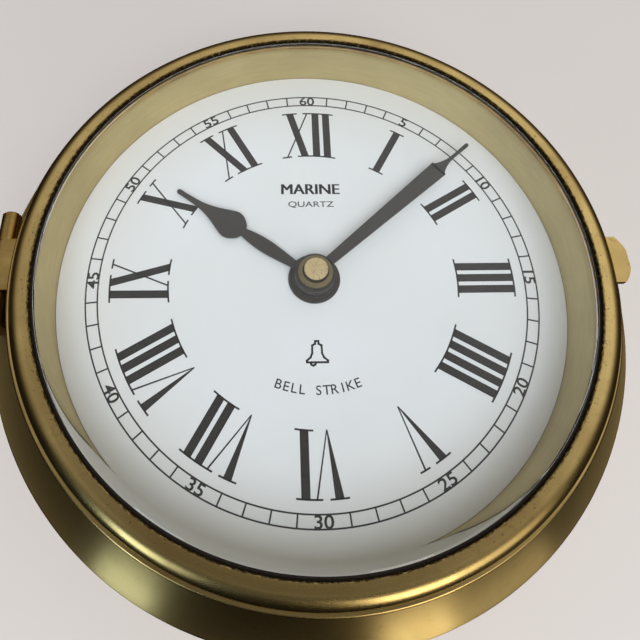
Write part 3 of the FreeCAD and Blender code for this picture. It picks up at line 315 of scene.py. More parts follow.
def plain_metal(name, light, dark, rough):
    """Satin metal with clouds, specks and faint streaks along X."""
    s = Shader(name)
    cloud = s.noise(s.place, 60.0, detail=5.0, roughness=0.6)
    speck = s.noise(s.place, 900.0, detail=3.0, roughness=0.6)
    stretched = s.combine(*[s.times(part, k) for part, k in zip(s.split(s.place), (1.0, 18.0, 18.0))])
    streak = s.noise(stretched, 60.0, detail=4.0)
    s.set(Base_Color=s.mix(s.ramp(cloud, [(0.35, 0.0), (0.7, 1.0)]), light, dark), Metallic=1.0)
    s.set(Roughness=s.vary(streak, rough - 0.04, rough + 0.08))
    s.set(Normal=s.bump(speck, 0.00001, 0.5, s.bump(streak, 0.000005, 0.4)))
    return s.material


def plastic(name, colour, tint, rough):
    """Moulded plastic with a pebbled skin."""
    s = Shader(name)
    cloud = s.noise(s.place, 45.0, detail=4.0, roughness=0.6)
    pebble = s.noise(s.place, 1500.0, detail=2.0, roughness=0.5)
    s.set(Base_Color=s.mix(s.ramp(cloud, CLOUD_STOPS), colour, tint))
    s.set(Roughness=s.remap(pebble, 0.35, 0.65, rough - 0.07, rough + 0.07))
    s.set(Normal=s.bump(pebble, 0.00003, 0.6))
    return s.material


CASE_BRASS = turned_brass(
    "case_brass", rgb(232, 196, 120), rgb(168, 128, 64), rough=0.46, ring_scale=2600.0, ring_depth=0.000006,
    tarnish=0.35, anisotropy=0.55,
)
SKIRT_BRASS = turned_brass(
    "skirt_brass", rgb(212, 186, 124), rgb(150, 118, 62), rough=0.29, ring_scale=2600.0, ring_depth=0.000002,
    tarnish=0.30, anisotropy=0.97,
)
BEZEL_BRASS = turned_brass(
    "bezel_brass", rgb(244, 212, 138), rgb(140, 104, 54), rough=0.21, ring_scale=1500.0, ring_depth=0.0000025,
    tarnish=0.45, dirt_and_shade=lip_dirt,
)
TURNED_BRASS = turned_brass(
    "nut_brass", rgb(255, 238, 190), rgb(196, 156, 96), rough=0.30, ring_scale=5200.0, ring_depth=0.000006,
    tarnish=0.25, dirt_and_shade=nut_dirt,
)
PLAIN_BRASS = plain_metal("plain_brass", rgb(206, 172, 104), rgb(140, 104, 54), rough=0.30)
STEEL = plain_metal("steel", rgb(178, 176, 170), rgb(120, 118, 112), rough=0.33)
YOKE = plain_metal("yoke_iron", rgb(118, 116, 110), rgb(82, 78, 72), rough=0.45)
NICKEL = plain_metal("nickel", rgb(206, 202, 192), rgb(150, 146, 136), rough=0.22)
BLACK_PLASTIC = plastic("black_plastic", rgb(30, 30, 32), rgb(40, 40, 42), rough=0.42)
IVORY_PLASTIC = plastic("ivory_plastic", rgb(226, 220, 198), rgb(206, 198, 172), rough=0.40)
CHIP_PLASTIC = plastic("chip_plastic", rgb(22, 22, 22), rgb(34, 33, 32), rough=0.5)
MAGNET = plastic("bonded_magnet", rgb(66, 62, 58), rgb(48, 45, 42), rough=0.6)
RUBBER = plastic("gasket_rubber", rgb(20, 12, 6), rgb(30, 22, 14), rough=0.7)


def inner_gold():
    """Matt gold lacquer of the ring round the dial."""
    s = Shader("inner_gold")
    radius, angle, height = s.polar()
    cloud = s.noise(s.place, 30.0, detail=5.0, roughness=0.6)
    band = s.noise(s.combine(s.times(angle, 0.01), height, radius), 900.0, detail=4.0, roughness=0.6)
    colour = s.mix(s.ramp(cloud, CLOUD_STOPS), rgb(214, 196, 140), rgb(188, 170, 114))
    s.set(Base_Color=s.mix(s.times(band, 0.25), colour, rgb(150, 132, 88)), Metallic=0.55)
    s.set(Roughness=s.vary(band, 0.48, 0.62), Normal=s.bump(band, 0.000008, 0.5))
    return s.material


# Radii between which the dial's paint is darkened to a greyer, yellower tone, a painted shade from the bezel's
# wall, in metres.
RIM_SHADE_START_R = 0.045
RIM_SHADE_FULL_R = 0.070


def enamel():
    """Off-white dial paint with a faint egg-shell texture, painted shade greying it towards the rim under the
    bezel's wall, and a little dust.
    """
    s = Shader("dial_enamel")
    radius = s.polar()[0]
    cloud = s.noise(s.place, 22.0, detail=4.0, roughness=0.5)
    speck = s.noise(s.place, 900.0, detail=2.0, roughness=0.5)
    # Painted shade: the paint turns greyer towards the rim, where the bezel's wall shades it.
    rim = s.remap(radius, RIM_SHADE_START_R, RIM_SHADE_FULL_R, 0.0, 0.45)
    colour = s.mix(s.ramp(cloud, CLOUD_STOPS), rgb(236, 238, 238), rgb(230, 231, 228))
    colour = s.mix(rim, colour, rgb(226, 223, 212))
    dust = s.ramp(s.noise(s.place, 2600.0, detail=1.0, roughness=0.4), [(0.79, 0.0), (0.84, 0.25)])
    s.set(Base_Color=s.mix(dust, colour, rgb(150, 140, 124)))
    s.set(Roughness=s.vary(speck, 0.42, 0.5), Normal=s.bump(speck, 0.000004, 0.4))
    return s.material


def ink():
    """Printed dial ink, very slightly uneven."""
    s = Shader("dial_ink")
    cloud = s.noise(s.place, 300.0, detail=4.0, roughness=0.6)
    s.set(Base_Color=s.mix(cloud, rgb(11, 11, 11), rgb(22, 21, 20)))
    s.set(Roughness=s.vary(cloud, 0.42, 0.55))
    return s.material


def hand_paint():
    """Charcoal satin lacquer of the hands."""
    s = Shader("hand_paint")
    cloud = s.noise(s.place, 160.0, detail=4.0, roughness=0.6)
    pebble = s.noise(s.place, 2200.0, detail=2.0, roughness=0.5)
    s.set(Base_Color=s.mix(cloud, rgb(38, 37, 35), rgb(50, 48, 45)))
    s.set(Roughness=s.vary(pebble, 0.40, 0.52), Normal=s.bump(pebble, 0.000006, 0.5))
    return s.material


def clear_glass():
    """Flat mineral glass, slightly smeared; shadow rays go straight through it."""
    s = Shader("clear_glass")
    smear = s.noise(s.place, 26.0, detail=5.0, roughness=0.6)
    s.set(Base_Color=(0.985, 0.992, 0.985, 1.0), IOR=1.5, Transmission_Weight=1.0)
    s.set(Roughness=s.remap(smear, 0.4, 0.7, 0.0, 0.012))
    clear = s.add("ShaderNodeBsdfTransparent")
    clear.inputs[0].default_value = (0.95, 0.96, 0.95, 1.0)
    path = s.add("ShaderNodeLightPath")
    either = s.add("ShaderNodeMixShader")
    s.link(path.outputs["Is Shadow Ray"], either.inputs[0])
    s.link(s.surface.outputs[0], either.inputs[1])
    s.link(clear.outputs[0], either.inputs[2])
    s.link(either.outputs[0], s.output.inputs[0])
    return s.material


# Radians of the wire pattern's wave in each metre.
WIRE_WAVES = 14000.0


def winding():
    """Enamelled copper wire in close turns, drawn slantwise over X and Y."""
    s = Shader("copper_winding")
    x, y, _ = s.split(s.place)
    turns = s.math("SINE", s.times(s.plus(x, y), WIRE_WAVES))
    cloud = s.noise(s.place, 200.0, detail=3.0)
    s.set(Base_Color=s.mix(cloud, rgb(186, 104, 52), rgb(142, 74, 36)), Metallic=0.85, Roughness=0.34)
    s.set(Normal=s.bump(turns, 0.00012, 0.8))
    return s.material


def board_green():
    """Green circuit board with a brick pattern of paler lines for its tracks."""
    s = Shader("circuit_board")
    tracks = s.add("ShaderNodeTexBrick")
    s.link(s.place, tracks.inputs["Vector"])
    tracks.inputs["Scale"].default_value = 240.0
    tracks.inputs["Color1"].default_value = rgb(22, 84, 48)
    tracks.inputs["Color2"].default_value = rgb(26, 96, 54)
    tracks.inputs["Mortar"].default_value = rgb(42, 122, 70)
    cloud = s.noise(s.place, 120.0, detail=3.0)
    s.set(Base_Color=s.mix(s.times(cloud, 0.4), tracks.outputs[0], rgb(16, 60, 36)), Roughness=0.38)
    return s.material


# Share of the cell's length that the dark band of its sleeve covers.
DARK_SHARE = 0.68


def cell_sleeve():
    """Printed sleeve of the cell: a dark band and a copper-coloured end."""
    s = Shader("cell_sleeve")
    x = s.split(s.place)[0]
    low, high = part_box("battery")
    split_x = low.x + (high.x - low.x) * DARK_SHARE
    band = s.math("GREATER_THAN", x, split_x)
    cloud = s.noise(s.place, 90.0, detail=4.0)
    colour = s.mix(band, rgb(30, 30, 32), rgb(196, 132, 74))
    s.set(Base_Color=s.mix(s.times(cloud, 0.3), colour, rgb(70, 62, 54)), Metallic=0.4)
    s.set(Roughness=s.vary(cloud, 0.28, 0.4))
    return s.material


INNER_GOLD = inner_gold()
ENAMEL = enamel()
INK = ink()
HAND_PAINT = hand_paint()
GLASS = clear_glass()
COPPER = winding()
BOARD = board_green()
SLEEVE = cell_sleeve()


# ---------------------------------------------------------------- shapes

def finish_piece(name, mesh, material, body, replaces=()):
    piece = bpy.data.objects.new(name, mesh)
    bpy.context.scene.collection.objects.link(piece)
    mesh.materials.append(material)
    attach(piece, body)
    if replaces:
        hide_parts(*replaces)
    return piece


def arc(cx, cz, radius, start, end, steps):
    """Points on an arc in the (r, z) plane; angles in degrees from +r towards +z."""
    points = []
    for i in range(steps + 1):
        a = math.radians(start + (end - start) * i / steps)
        points.append((cx + radius * math.cos(a), cz + radius * math.sin(a)))
    return points

def near(angle, other):
    """The same direction as `angle`, at most half a turn away from `other`, in degrees."""
    while angle - other > 180:
        angle -= 360
    while angle - other < -180:
        angle += 360
    return angle


def through(a, middle, b, steps):
    """Circular arc from a to b through the middle point."""
    ax, ay = a
    bx, by = middle
    cx, cy = b
    d = 2 * (ax * (by - cy) + bx * (cy - ay) + cx * (ay - by))
    aa, bb, cc = ax * ax + ay * ay, bx * bx + by * by, cx * cx + cy * cy
    ux = (aa * (by - cy) + bb * (cy - ay) + cc * (ay - by)) / d
    uy = (aa * (cx - bx) + bb * (ax - cx) + cc * (bx - ax)) / d
    radius = math.hypot(ax - ux, ay - uy)
    start, half_way, end = [math.degrees(math.atan2(p[1] - uy, p[0] - ux)) for p in (a, middle, b)]
    half_way = near(half_way, start)
    return arc(ux, uy, radius, start, near(end, half_way), steps)


# A profile point nearer to the axis than this, in millimetres, becomes one vertex.
ON_AXIS = 1e-6


def turned_mesh(name, profile, segments=360, closed=True, sharp=24.0):
    """Spin an (r, z) outline in millimetres about the dial's axis; corners over `sharp` degrees stay crisp."""
    bm = bmesh.new()
    rings = []
    for r, z in profile:
        if r < ON_AXIS:
            rings.append([bm.verts.new((0.0, 0.0, z * MM))])
            continue
        ring = []
        for i in range(segments):
            a = TURN * i / segments
            ring.append(bm.verts.new((r * math.cos(a) * MM, r * math.sin(a) * MM, z * MM)))
        rings.append(ring)
    count = len(rings)
    for k in range(count if closed else count - 1):
        a, b = rings[k], rings[(k + 1) % count]
        if len(a) == 1 and len(b) == 1:
            continue
        for i in range(segments):
            j = (i + 1) % segments
            corners = [a[i % len(a)], a[j % len(a)], b[j % len(b)], b[i % len(b)]]
            bm.faces.new(list(dict.fromkeys(corners)))
    bmesh.ops.recalc_face_normals(bm, faces=bm.faces)
    for face in bm.faces:
        face.smooth = True
    limit = math.radians(sharp)
    for edge in bm.edges:
        if len(edge.link_faces) == 2 and edge.calc_face_angle(0.0) > limit:
            edge.smooth = False
    mesh = bpy.data.meshes.new(name)
    bm.to_mesh(mesh)
    bm.free()
    return mesh


def turned(name, profile, material, body, replaces=(), slot=None, **options):
    return finish_piece(name, turned_mesh(name, profile, **options), material, body, replaces)


# How near to the top, in metres, an edge has to be to get the bevel, and how sharp an edge stays crisp.
AT_TOP = 1e-7
SLAB_SHARP = math.radians(40)


def slab_mesh(name, outlines, z0, z1, bevel=0.0):
    """Flat pieces with the given outlines (lists of (x, y) in millimetres), extruded from z0 to z1."""
    bm = bmesh.new()
    for outline in outlines:
        face = bm.faces.new([bm.verts.new((x * MM, y * MM, z0 * MM)) for x, y in outline])
        made = bmesh.ops.extrude_face_region(bm, geom=[face])
        top = [v for v in made["geom"] if isinstance(v, bmesh.types.BMVert)]
        bmesh.ops.translate(bm, verts=top, vec=(0, 0, (z1 - z0) * MM))
    bmesh.ops.recalc_face_normals(bm, faces=bm.faces)
    if bevel:
        rim = [
            e for e in bm.edges
            if all(abs(v.co.z - z1 * MM) < AT_TOP for v in e.verts) and len(e.link_faces) == 2
            and abs(e.link_faces[0].normal.z - e.link_faces[1].normal.z) > 0.5
        ]
        bmesh.ops.bevel(
            bm, geom=rim, offset=bevel * MM, segments=3, affect="EDGES", profile=0.5, clamp_overlap=True,
        )
        for face in bm.faces:
            face.smooth = True
        for edge in bm.edges:
            if len(edge.link_faces) == 2 and edge.calc_face_angle(0.0) > SLAB_SHARP:
                edge.smooth = False
    mesh = bpy.data.meshes.new(name)
    bm.to_mesh(mesh)
    bm.free()
    return mesh


# ---------------------------------------------------------------- case and bezel

turned(
    "drum_shell",
    [(DRUM_R - DRUM_CHAMFER, 0.0), (DRUM_R, DRUM_CHAMFER), (DRUM_R, SEAM_Z), (DRUM_IN_R, SEAM_Z),
     (DRUM_IN_R, 0.0)],
    CASE_BRASS, "case", ["case_drum"], "brass_case",
)

# Points of the front in the (r, z) plane: rolled edge, flared skirt and the fillet below the neck.
ROLL_START = (DRUM_R, EDGE_Z - 1.0)
ROLL_MIDDLE = (DRUM_R - 0.25, EDGE_Z - 0.25)
FLARE_START = (DRUM_R - 0.85, EDGE_Z + 0.15)
FLARE_MIDDLE = (80.4, 47.6)
FLARE_END = (NECK_R + 0.45, 54.5)
FILLET_MIDDLE = (NECK_R + 0.15, 54.65)
FILLET_END = (NECK_R, 54.9)
front_profile = (
    [(DRUM_R, SEAM_Z), ROLL_START]
    + through(ROLL_START, ROLL_MIDDLE, FLARE_START, 8)[1:]
    + through(FLARE_START, FLARE_MIDDLE, FLARE_END, 48)[1:]
    + through(FLARE_END, FILLET_MIDDLE, FILLET_END, 4)[1:]
    + [(NECK_R, NECK_TOP_Z), (NECK_IN_R, NECK_TOP_Z), (NECK_IN_R, SHOULDER_Z), (SHOULDER_R, SHOULDER_Z)]
    + [(DRUM_IN_R, SEAM_Z)]
)
turned("front_shell", front_profile, SKIRT_BRASS, "case", ["case_front"], "brass_case")

turned(
    "inner_ring",
    [(DIAL_R + RING_GAP, DIAL_Z - DIAL_T), (NECK_IN_R - RING_GAP, DIAL_Z - DIAL_T),
     (NECK_IN_R - RING_GAP, NECK_TOP_Z - RING_GAP), (MOUTH_R, NECK_TOP_Z - RING_GAP),
     (DIAL_R + RING_GAP, DIAL_Z)],
    INNER_GOLD, "case", ["dial_surround"], "brass_inner",
)

# Points of the bezel in the (r, z) plane: softened mouth, cove below the round face and the ledge.
SOFT_START = (LIP_R, LIP_Z - 0.35)
SOFT_MIDDLE = (LIP_R + 0.1, LIP_Z - 0.1)
SOFT_END = (LIP_R + 0.35, LIP_Z)
COVE_START = (BEZEL_R - 0.7, BEZEL_BASE_Z + 1.3)
COVE_MIDDLE = (BEZEL_R - 0.2, BEZEL_BASE_Z + 1.1)
LEDGE_START = (BEZEL_R, BEZEL_BASE_Z + 0.55)
LEDGE_MIDDLE = (BEZEL_R - 0.08, BEZEL_BASE_Z + 0.3)
LEDGE_END = (BEZEL_R - 0.5, BEZEL_BASE_Z)
bezel_profile = (
    [SOFT_START]
    + through(SOFT_START, SOFT_MIDDLE, SOFT_END, 6)[1:]
    + [(LIP_FLAT_R, LIP_Z)]
    + arc(LIP_FLAT_R, LIP_Z - TORUS_R, TORUS_R, 90, 0, 28)[1:]
    + [COVE_START]
    + through(COVE_START, COVE_MIDDLE, LEDGE_START, 8)[1:]
    + through(LEDGE_START, LEDGE_MIDDLE, LEDGE_END, 6)[1:]
    + [(MOUTH_R, BEZEL_BASE_Z), (MOUTH_R, GLASS_BASE_Z), (LIP_R, GLASS_BASE_Z)]
)
turned("bezel_turned", bezel_profile, BEZEL_BRASS, "bezel", ["bezel_ring"], "brass_bezel")

BEVEL_START = (GLASS_R - GLASS_ARRIS, GLASS_TOP_Z - GLASS_BEVEL)
BEVEL_MIDDLE = (69.4, GLASS_TOP_Z - 0.28)
BEVEL_END = (GLASS_FLAT_R, GLASS_TOP_Z)
glass_profile = (
    [(0, GLASS_BASE_Z), (GLASS_R - GLASS_CHAMFER, GLASS_BASE_Z), (GLASS_R, GLASS_BASE_Z + GLASS_CHAMFER),
     (GLASS_R, GLASS_TOP_Z - GLASS_BEVEL - GLASS_ARRIS)]
    + through(BEVEL_START, BEVEL_MIDDLE, BEVEL_END, 10)
    + [(0, GLASS_TOP_Z)]
)
turned("glass_pane", glass_profile, GLASS, "bezel", ["glass"], "glass", closed=False, sharp=12.0)

GASKET_TOP_Z = LIP_Z - 0.9
GASKET_CROWN = (GLASS_R + 0.5, LIP_Z - 0.75)
turned(
    "gasket_ring",
    [(GLASS_R, GLASS_BASE_Z), (LIP_R, GLASS_BASE_Z), (LIP_R, GASKET_TOP_Z), GASKET_CROWN,
     (GLASS_R, GASKET_TOP_Z)],
    RUBBER, "bezel", ["glass_gasket"], "gasket",
)

turned(
    "dial_plate",
    [(BUSH_R, DIAL_Z - DIAL_T), (DIAL_R, DIAL_Z - DIAL_T), (DIAL_R, DIAL_Z - DIAL_ARRIS),
     (DIAL_R - DIAL_ARRIS, DIAL_Z), (BUSH_R, DIAL_Z)],
    ENAMEL, "case", ["dial"], "dial",
)


# ---------------------------------------------------------------- dial print

INK_Z0 = DIAL_Z + 0.004
INK_Z1 = DIAL_Z + 0.03
# The minute track's outer radius in millimetres; most sizes of the print are shares of it.
UNIT = 62.5
TRACK_OUT = UNIT
TRACK_IN = 0.9497 * UNIT
TRACK_HALF = 0.2
TICK_HALF = 0.21
NUM_OUT = 0.903 * UNIT
NUM_IN = 0.643 * UNIT
STROKE = 0.0355 * UNIT
HAIR = 0.0075 * UNIT
SERIF = 0.0075 * UNIT
PITCH = 0.0535 * UNIT
# How far a serif runs past a thick stroke's side, and past the middle of a thin stroke.
OVER = 0.020 * UNIT
THIN_OVER = OVER * 1.15
# Half widths of the letters, and where the strokes of V and X stand from a letter's middle.
HALF_WIDTH = {"I": STROKE / 2, "V": 0.0570 * UNIT, "X": 0.0560 * UNIT}
THICK_TOP = -0.0385 * UNIT
X_THICK_LOW = 0.0360 * UNIT
X_THIN_TOP = 0.0520 * UNIT
X_THIN_LOW = -0.0530 * UNIT
V_THIN_TOP = 0.0500 * UNIT
V_APEX = 0.001 * UNIT
V_APEX_HALF = 0.002 * UNIT
V_THIN_APEX = 0.003 * UNIT
# Degrees from one hour or minute to the next.
HOUR_STEP = 30.0
MINUTE_STEP = 6.0


def print_outlines(name, outlines):
    """One printed piece of the dial from flat outlines."""
    finish_piece(name, slab_mesh(name, outlines, INK_Z0, INK_Z1), INK, "case")


def at_azimuth(points, azimuth):
    """Turn dial points drawn with 12 o'clock up to the given azimuth."""
    a = math.radians(-azimuth)
    return [(x * math.cos(a) - y * math.sin(a), x * math.sin(a) + y * math.cos(a)) for x, y in points]


def ring_outline(inner, outer, start, end, steps):
    """Outline of an arc-shaped line between two clock azimuths."""
    out = []
    back = []
    for i in range(steps + 1):
        a = math.radians(90 - (start + (end - start) * i / steps))
        out.append((outer * math.cos(a), outer * math.sin(a)))
        back.append((inner * math.cos(a), inner * math.sin(a)))
    return out + back[::-1]


def on_radius(x, radius):
    return math.sqrt(radius * radius - x * x)


def stroke_outline(x_in, x_out, width):
    """Straight stroke from the inner to the outer numeral circle, its ends on the two circles."""
    h = width / 2
    return [
        (x_in - h, on_radius(x_in - h, NUM_IN)),
        (x_in + h, on_radius(x_in + h, NUM_IN)),
        (x_out + h, on_radius(x_out + h, NUM_OUT)),
        (x_out - h, on_radius(x_out - h, NUM_OUT)),
    ]


def serif_outline(x0, x1, radius, inward):
    """Thin serif along the circle between two x positions."""
    inner = radius if inward else radius - SERIF
    steps = 6
    xs = [x0 + (x1 - x0) * i / steps for i in range(steps + 1)]
    top = [(x, on_radius(x, inner + SERIF)) for x in xs]
    bottom = [(x, on_radius(x, inner)) for x in xs]
    return top + bottom[::-1]

def serif_span(x, half, over):
    """Ends of the serif of a stroke that is `half` wide to each side of x."""
    return x - half - over, x + half + over


def numeral(text):
    """Stroke and serif outlines of a roman numeral, drawn at 12 o'clock and centred."""
    places = []
    x = 0.0
    gap = PITCH - STROKE
    for letter in text:
        x += HALF_WIDTH[letter]
        places.append((letter, x))
        x += HALF_WIDTH[letter] + gap
    width = x - gap
    h = STROKE / 2
    shapes = []
    outer_serifs = []
    inner_serifs = []
    for letter, place in places:
        c = place - width / 2
        if letter == "I":
            shapes.append(stroke_outline(c, c, STROKE))
            outer_serifs.append(serif_span(c, h, OVER))
            inner_serifs.append(serif_span(c, h, OVER))
        if letter == "X":
            top, low, thin_top, thin_low = c + THICK_TOP, c + X_THICK_LOW, c + X_THIN_TOP, c + X_THIN_LOW
            shapes.append(stroke_outline(low, top, STROKE))
            shapes.append(stroke_outline(thin_low, thin_top, HAIR))
            outer_serifs += [serif_span(top, h, OVER), serif_span(thin_top, 0.0, THIN_OVER)]
            inner_serifs += [serif_span(low, h, OVER), serif_span(thin_low, 0.0, THIN_OVER)]
        if letter == "V":
            top, apex, thin_top = c + THICK_TOP, c + V_APEX, c + V_THIN_TOP
            shapes.append([
                (apex - V_APEX_HALF, on_radius(apex, NUM_IN)),
                (apex + V_APEX_HALF, on_radius(apex, NUM_IN)),
                (top + h, on_radius(top + h, NUM_OUT)),
                (top - h, on_radius(top - h, NUM_OUT)),
            ])
            shapes.append([
                (apex - V_APEX_HALF, on_radius(apex, NUM_IN)),
                (apex + V_THIN_APEX, on_radius(apex, NUM_IN)),
                (thin_top + HAIR / 2, on_radius(thin_top, NUM_OUT)),
                (thin_top - HAIR / 2, on_radius(thin_top, NUM_OUT)),
            ])
            outer_serifs += [serif_span(top, h, OVER), serif_span(thin_top, 0.0, THIN_OVER)]
    for spans, radius, inward in ((outer_serifs, NUM_OUT, False), (inner_serifs, NUM_IN, True)):
        spans.sort()
        merged = []
        for lo, hi in spans:
            if merged and lo <= merged[-1][1]:
                merged[-1][1] = max(merged[-1][1], hi)
            else:
                merged.append([lo, hi])
        shapes += [serif_outline(lo, hi, radius, inward) for lo, hi in merged]
    return shapes


NUMERALS = ["XII", "I", "II", "III", "IIII", "V", "VI", "VII", "VIII", "IX", "X", "XI"]
numeral_shapes = []
for hour, text in enumerate(NUMERALS):
    numeral_shapes += [at_azimuth(shape, hour * HOUR_STEP) for shape in numeral(text)]
print_outlines("roman_numerals", numeral_shapes)

track_shapes = []
for radius in (TRACK_OUT, TRACK_IN):
    for k in range(12):
        start, end = k * HOUR_STEP, (k + 1) * HOUR_STEP
        track_shapes.append(ring_outline(radius - TRACK_HALF, radius + TRACK_HALF, start, end, 24))
for minute in range(60):
    if minute % 5:
        tick = [
            (-TICK_HALF, TRACK_IN), (TICK_HALF, TRACK_IN), (TICK_HALF, TRACK_OUT), (-TICK_HALF, TRACK_OUT),
        ]
        track_shapes.append(at_azimuth(tick, minute * MINUTE_STEP))
print_outlines("minute_track", track_shapes)


def text_mesh(text, size, x_scale=1.0, weight=0.0):
    """Flat mesh of a word, centred on the origin, `size` millimetres high."""
    curve = bpy.data.curves.new("letters", "FONT")
    curve.body = text
    curve.size = 1.0
    curve.align_x = "CENTER"
    curve.align_y = "CENTER"
    curve.offset = weight
    curve.resolution_u = 8
    holder = bpy.data.objects.new("letters", curve)
    bpy.context.scene.collection.objects.link(holder)
    bpy.context.view_layer.update()
    mesh = bpy.data.meshes.new_from_object(holder.evaluated_get(bpy.context.evaluated_depsgraph_get()))
    bpy.data.objects.remove(holder)
    bpy.data.curves.remove(curve)
    ys = [v.co.y for v in mesh.vertices]
    xs = [v.co.x for v in mesh.vertices]
    k = size / (max(ys) - min(ys))
    cy = (max(ys) + min(ys)) / 2
    cx = (max(xs) + min(xs)) / 2
    for v in mesh.vertices:
        v.co = Vector(((v.co.x - cx) * k * x_scale, (v.co.y - cy) * k, 0.0))
    return mesh


def print_text(name, parts):
    """Joins letters, each a (mesh, x, y, turn in degrees), into one printed piece."""
    bm = bmesh.new()
    for mesh, x, y, turn in parts:
        mesh.transform(Matrix.Translation((x, y, 0)) @ Matrix.Rotation(math.radians(turn), 4, "Z"))
        mesh.transform(Matrix.Scale(MM, 4))
        mesh.transform(Matrix.Translation((0, 0, INK_Z1 * MM)))
        bm.from_mesh(mesh)
        bpy.data.meshes.remove(mesh)
    for face in bm.faces:
        if face.normal.z < 0:
            face.normal_flip()
    mesh = bpy.data.meshes.new(name)
    bm.to_mesh(mesh)
    bm.free()
    finish_piece(name, mesh, INK, "case")


digits = []
digit_r = (TRACK_OUT + TRACK_IN) / 2
for minute in range(5, 65, 5):
    azimuth = minute * MINUTE_STEP
    upright = azimuth <= 90 or azimuth >= 270
    a = math.radians(90 - azimuth)
    turn = -azimuth if upright else 180 - azimuth
    digit = text_mesh(str(minute), size=3.05, x_scale=1.2, weight=0.016)
    digits.append((digit, digit_r * math.cos(a), digit_r * math.sin(a), turn))
print_text("minute_numbers", digits)

# Heights of the two words over the dial's centre; three copies side by side make the first one bold.
MARINE_Y = 28.75
MARINE_SHIFTS = (-0.16, 0.0, 0.16)
QUARTZ_Y = 23.5
print_text("word_marine", [(text_mesh("MARINE", size=3.4), shift, MARINE_Y, 0.0) for shift in MARINE_SHIFTS])
print_text("word_quartz", [(text_mesh("QUARTZ", size=2.2, x_scale=1.28, weight=0.004), 0.0, QUARTZ_Y, 0.0)])

CURVED = "BELL STRIKE"
CURVED_R = 30.5
LETTER_PITCH = 2.1
letters = []
for i, letter in enumerate(CURVED):
    if letter == " ":
        continue
    offset = (i - (len(CURVED) - 1) / 2) * LETTER_PITCH
    angle = offset / CURVED_R
    mesh = text_mesh(letter, size=2.45, weight=0.006)
    letters.append((mesh, CURVED_R * math.sin(angle), -CURVED_R * math.cos(angle), math.degrees(angle)))
print_text("words_bell_strike", letters)


def icon_line(points, width):
    """Outline strips for an open line of the given width."""
    strips = []
    for (x0, y0), (x1, y1) in zip(points, points[1:]):
        dx, dy = x1 - x0, y1 - y0
        length = math.hypot(dx, dy)
        ux, uy = dx / length, dy / length
        nx, ny = -uy * width / 2, ux * width / 2
        ex, ey = ux * width / 2, uy * width / 2
        strips.append([
            (x0 + nx - ex, y0 + ny - ey), (x0 - nx - ex, y0 - ny - ey),
            (x1 - nx + ex, y1 - ny + ey), (x1 + nx + ex, y1 + ny + ey),
        ])
    return strips


BELL = [
    (-0.35, 0), (-0.35, -0.55), (-0.95, -0.9), (-1.0, -2.5), (-1.35, -3.3), (-2.1, -3.95), (-2.1, -4.3),
    (2.1, -4.3), (2.1, -3.95), (1.35, -3.3), (1.0, -2.5), (0.95, -0.9), (0.35, -0.55), (0.35, 0), (-0.35, 0),
]
CLAPPER = [(-1.35, -4.3), (-1.25, -4.75), (-0.85, -4.95), (-0.45, -4.75), (-0.35, -4.3)]
BELL_SCALE = 1.32
BELL_TOP_Y = -17.6
BELL_LINE = 0.54
icon = []
for points in (BELL, CLAPPER):
    icon += icon_line([(x * BELL_SCALE, y * BELL_SCALE + BELL_TOP_Y) for x, y in points], BELL_LINE)
print_outlines("bell_symbol", icon)


# ---------------------------------------------------------------- hands

# Points between two stations of a hand's outline, and steps round its tip.
HAND_STEPS = 6
TIP_STEPS = 8


def between(a, b, c, d, t):
    """Smooth value a share t of the way from b to c, with a and d as the neighbours."""
    bend = (2 * a - 5 * b + 4 * c - d) * t * t
    return 0.5 * (2 * b + (c - a) * t + bend + (3 * b - a - 3 * c + d) * t ** 3)


def smooth_outline(stations, tip):
    """Closed outline from (distance, half width) stations with a round tip, along +X."""
    dense = []
    for k in range(len(stations) - 1):
        p0 = stations[max(k - 1, 0)]
        p1, p2 = stations[k], stations[k + 1]
        p3 = stations[min(k + 2, len(stations) - 1)]
        for i in range(HAND_STEPS):
            dense.append(tuple(between(*values, i / HAND_STEPS) for values in zip(p0, p1, p2, p3)))
    dense.append(stations[-1])
    end_x, end_w = stations[-1]
    cap = []
    for i in range(1, TIP_STEPS):
        a = math.pi / 2 - math.pi * i / TIP_STEPS
        cap.append((end_x + (tip - end_x) * math.cos(a), end_w * math.sin(a)))
    return dense + cap + [(x, -w) for x, w in reversed(dense)]


def hand(name, outline, azimuth, z, body, node):
    """A stamped hand with softened upper edges."""
    mesh = slab_mesh(name, [outline], z, z + HAND_T, HAND_BEVEL)
    mesh.transform(Matrix.Rotation(math.radians(90 - azimuth), 4, "Z"))
    finish_piece(name, mesh, HAND_PAINT, body, [node])


MINUTE_STATIONS = [
    (3.5, 1.38), (20.0, 1.82), (35.0, 2.23), (48.8, 2.60), (49.5, 2.60), (50.0, 2.40), (50.6, 2.02),
    (51.8, 1.42),
    (53.4, 0.90), (55.2, 0.58), (58.0, 0.50), (60.0, 0.53), (62.75, 0.60),
]
HOUR_STATIONS = [
    (5.0, 1.05), (8.0, 1.35), (12.8, 1.85), (16.0, 2.05), (19.2, 1.98), (22.4, 1.60), (24.0, 1.34),
    (24.35, 1.75), (24.6, 2.3), (25.6, 3.25), (26.8, 4.0), (28.1, 4.35), (29.4, 4.25), (31.9, 3.30),
    (35.1, 2.08), (38.3, 1.22),
    (41.5, 0.87), (44.7, 0.74), (47.2, 0.74),
]
MINUTE_TIP_R = 63.4
HOUR_TIP_R = 47.9
minute_outline = smooth_outline(MINUTE_STATIONS, MINUTE_TIP_R)
hour_outline = smooth_outline(HOUR_STATIONS, HOUR_TIP_R)
hand("minute_hand_blade", minute_outline, MINUTE_AZIMUTH, MINUTE_HAND_Z, "minute_train", "minute_hand")
hand("hour_hand_blade", hour_outline, HOUR_AZIMUTH, HOUR_HAND_Z, "hour_train", "hour_hand")

